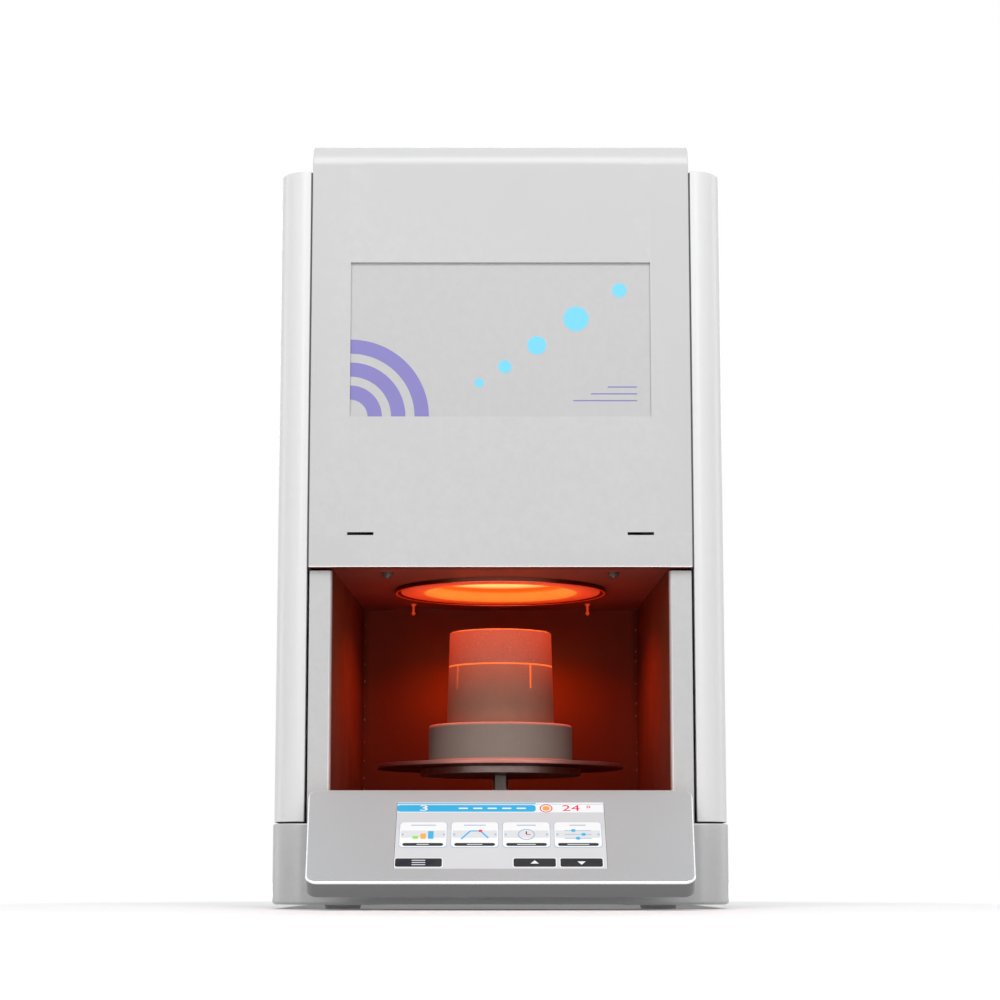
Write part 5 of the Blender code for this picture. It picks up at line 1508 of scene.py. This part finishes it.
for nodeName in sorted(frame["nodes"]):
    if nodeName not in replacedNodes:
        dressNode(nodeName)
print("pieces made:", pieceCount)


# Floor, light and camera

stage = {"floorSize": 40.0, "floorTone": 0.50, "seenTone": 0.92, "lift": 0.49,
         "fadeStart": 0.45, "fadeEnd": 1.8, "white": 1.0, "ambient": 0.38,
         "target": (0.0, 0.0, 0.38)}
lamps = {   # place, width and height, power
    "keyLight": ((0.0, -2.2, 2.7), (3.0, 1.2), 60.0),
    "rearLight": ((0.0, 2.7, 1.6), (2.4, 1.4), 20.0),
    "leftStrip": ((-1.32, -2.95, 1.45), (0.40, 2.2), 13.0),
    "rightStrip": ((1.32, -2.95, 1.45), (0.40, 2.2), 13.0),
    "leftLight": ((-2.9, 1.0, 1.1), (1.2, 2.4), 11.0),
    "rightLight": ((2.9, 1.0, 1.1), (1.2, 2.4), 11.0),
}
chamberGlow = {"power": 1.12, "colour": (1.0, 0.17, 0.025), "radius": 0.056, "lift": 0.055}
viewpoint = {"place": (-0.0005, -2.376, 0.0258), "tilt": 98.303, "lens": 86.448,
             "sensor": 36.0, "shiftY": 0.03}


def makeFloor():
    shape = bmesh.new()
    bmesh.ops.create_grid(shape, x_segments=1, y_segments=1, size=stage["floorSize"] / 2)
    mesh = bpy.data.meshes.new("floor")
    shape.to_mesh(mesh)
    shape.free()
    tree, shader = newFinish("paleFloor", 0.7)
    # the camera sees a pale floor with the object's own soft shadow; its bounce stays plainer
    seen = addNode(tree, "ShaderNodeLightPath")
    camera, glossy = seen.outputs["Is Camera Ray"], seen.outputs["Is Glossy Ray"]
    tone = remap(tree, camera, 0.0, 1.0, stage["floorTone"], stage["seenTone"])
    plug(tree, tone, shader.inputs["Base Color"])
    reach = addNode(tree, "ShaderNodeVectorMath", {0: objectPlace(tree)}, operation="LENGTH")
    far = remap(tree, reach.outputs["Value"], stage["fadeStart"], stage["fadeEnd"], smooth=True)
    mirrored = remap(tree, far, 0.0, 1.0, stage["lift"], 1.0)
    rays = maths(tree, "MAXIMUM", product(tree, camera, far), product(tree, glossy, mirrored))
    lift = addNode(tree, "ShaderNodeEmission", {"Color": (1.0, 1.0, 1.0), "Strength": rays})
    both = addNode(tree, "ShaderNodeAddShader", {0: shader.outputs["BSDF"],
                                                 1: lift.outputs["Emission"]})
    plug(tree, both.outputs["Shader"], tree.nodes["Material Output"].inputs["Surface"])
    mesh.materials.append(finishes["paleFloor"])
    floor = bpy.data.objects.new("floor", mesh)
    scene.collection.objects.link(floor)


def makeSky():
    scene.world = bpy.data.worlds.new("studioSky")
    scene.world.use_nodes = True
    tree = scene.world.node_tree
    seen = addNode(tree, "ShaderNodeLightPath").outputs
    rays = maths(tree, "MAXIMUM", seen["Is Camera Ray"], seen["Is Glossy Ray"])
    rays = maths(tree, "MAXIMUM", rays, seen["Is Transmission Ray"])
    strength = remap(tree, rays, 0.0, 1.0, stage["ambient"], stage["white"])
    for label, value in (("Strength", strength), ("Color", (1.0, 1.0, 1.0))):
        plug(tree, value, tree.nodes["Background"].inputs[label])


def addLamp(name, place, size, power, colour=(1.0, 1.0, 1.0), shape="RECTANGLE"):
    lamp = bpy.data.lights.new(name, "AREA")
    lamp.shape, lamp.energy, lamp.color = shape, power, colour
    lamp.size, lamp.size_y = size
    holder = bpy.data.objects.new(name, lamp)
    holder.location = place
    scene.collection.objects.link(holder)
    return holder


def makeLights():
    for name, (place, size, power) in lamps.items():
        aim = Vector(stage["target"]) - Vector(place)
        addLamp(name, place, size, power).rotation_euler = aim.to_track_quat("-Z", "Y").to_euler()
    # the light of the chamber falls straight down and isn't seen itself
    width = chamberGlow["radius"] * 2
    holder = addLamp("chamberGlow", (0.0, axisY, mouthZ + chamberGlow["lift"]), (width, width),
                     chamberGlow["power"], chamberGlow["colour"], "DISK")
    holder.visible_camera = holder.visible_glossy = False


def makeCamera():
    lens = bpy.data.cameras.new("photoCamera")
    lens.lens, lens.sensor_width = viewpoint["lens"], viewpoint["sensor"]
    lens.shift_y = viewpoint["shiftY"]
    scene.camera = bpy.data.objects.new("photoCamera", lens)
    scene.camera.location = viewpoint["place"]
    scene.camera.rotation_euler = (math.radians(viewpoint["tilt"]), 0.0, 0.0)
    scene.collection.objects.link(scene.camera)


makeFloor()
makeSky()
makeLights()
makeCamera()
print("stage made")
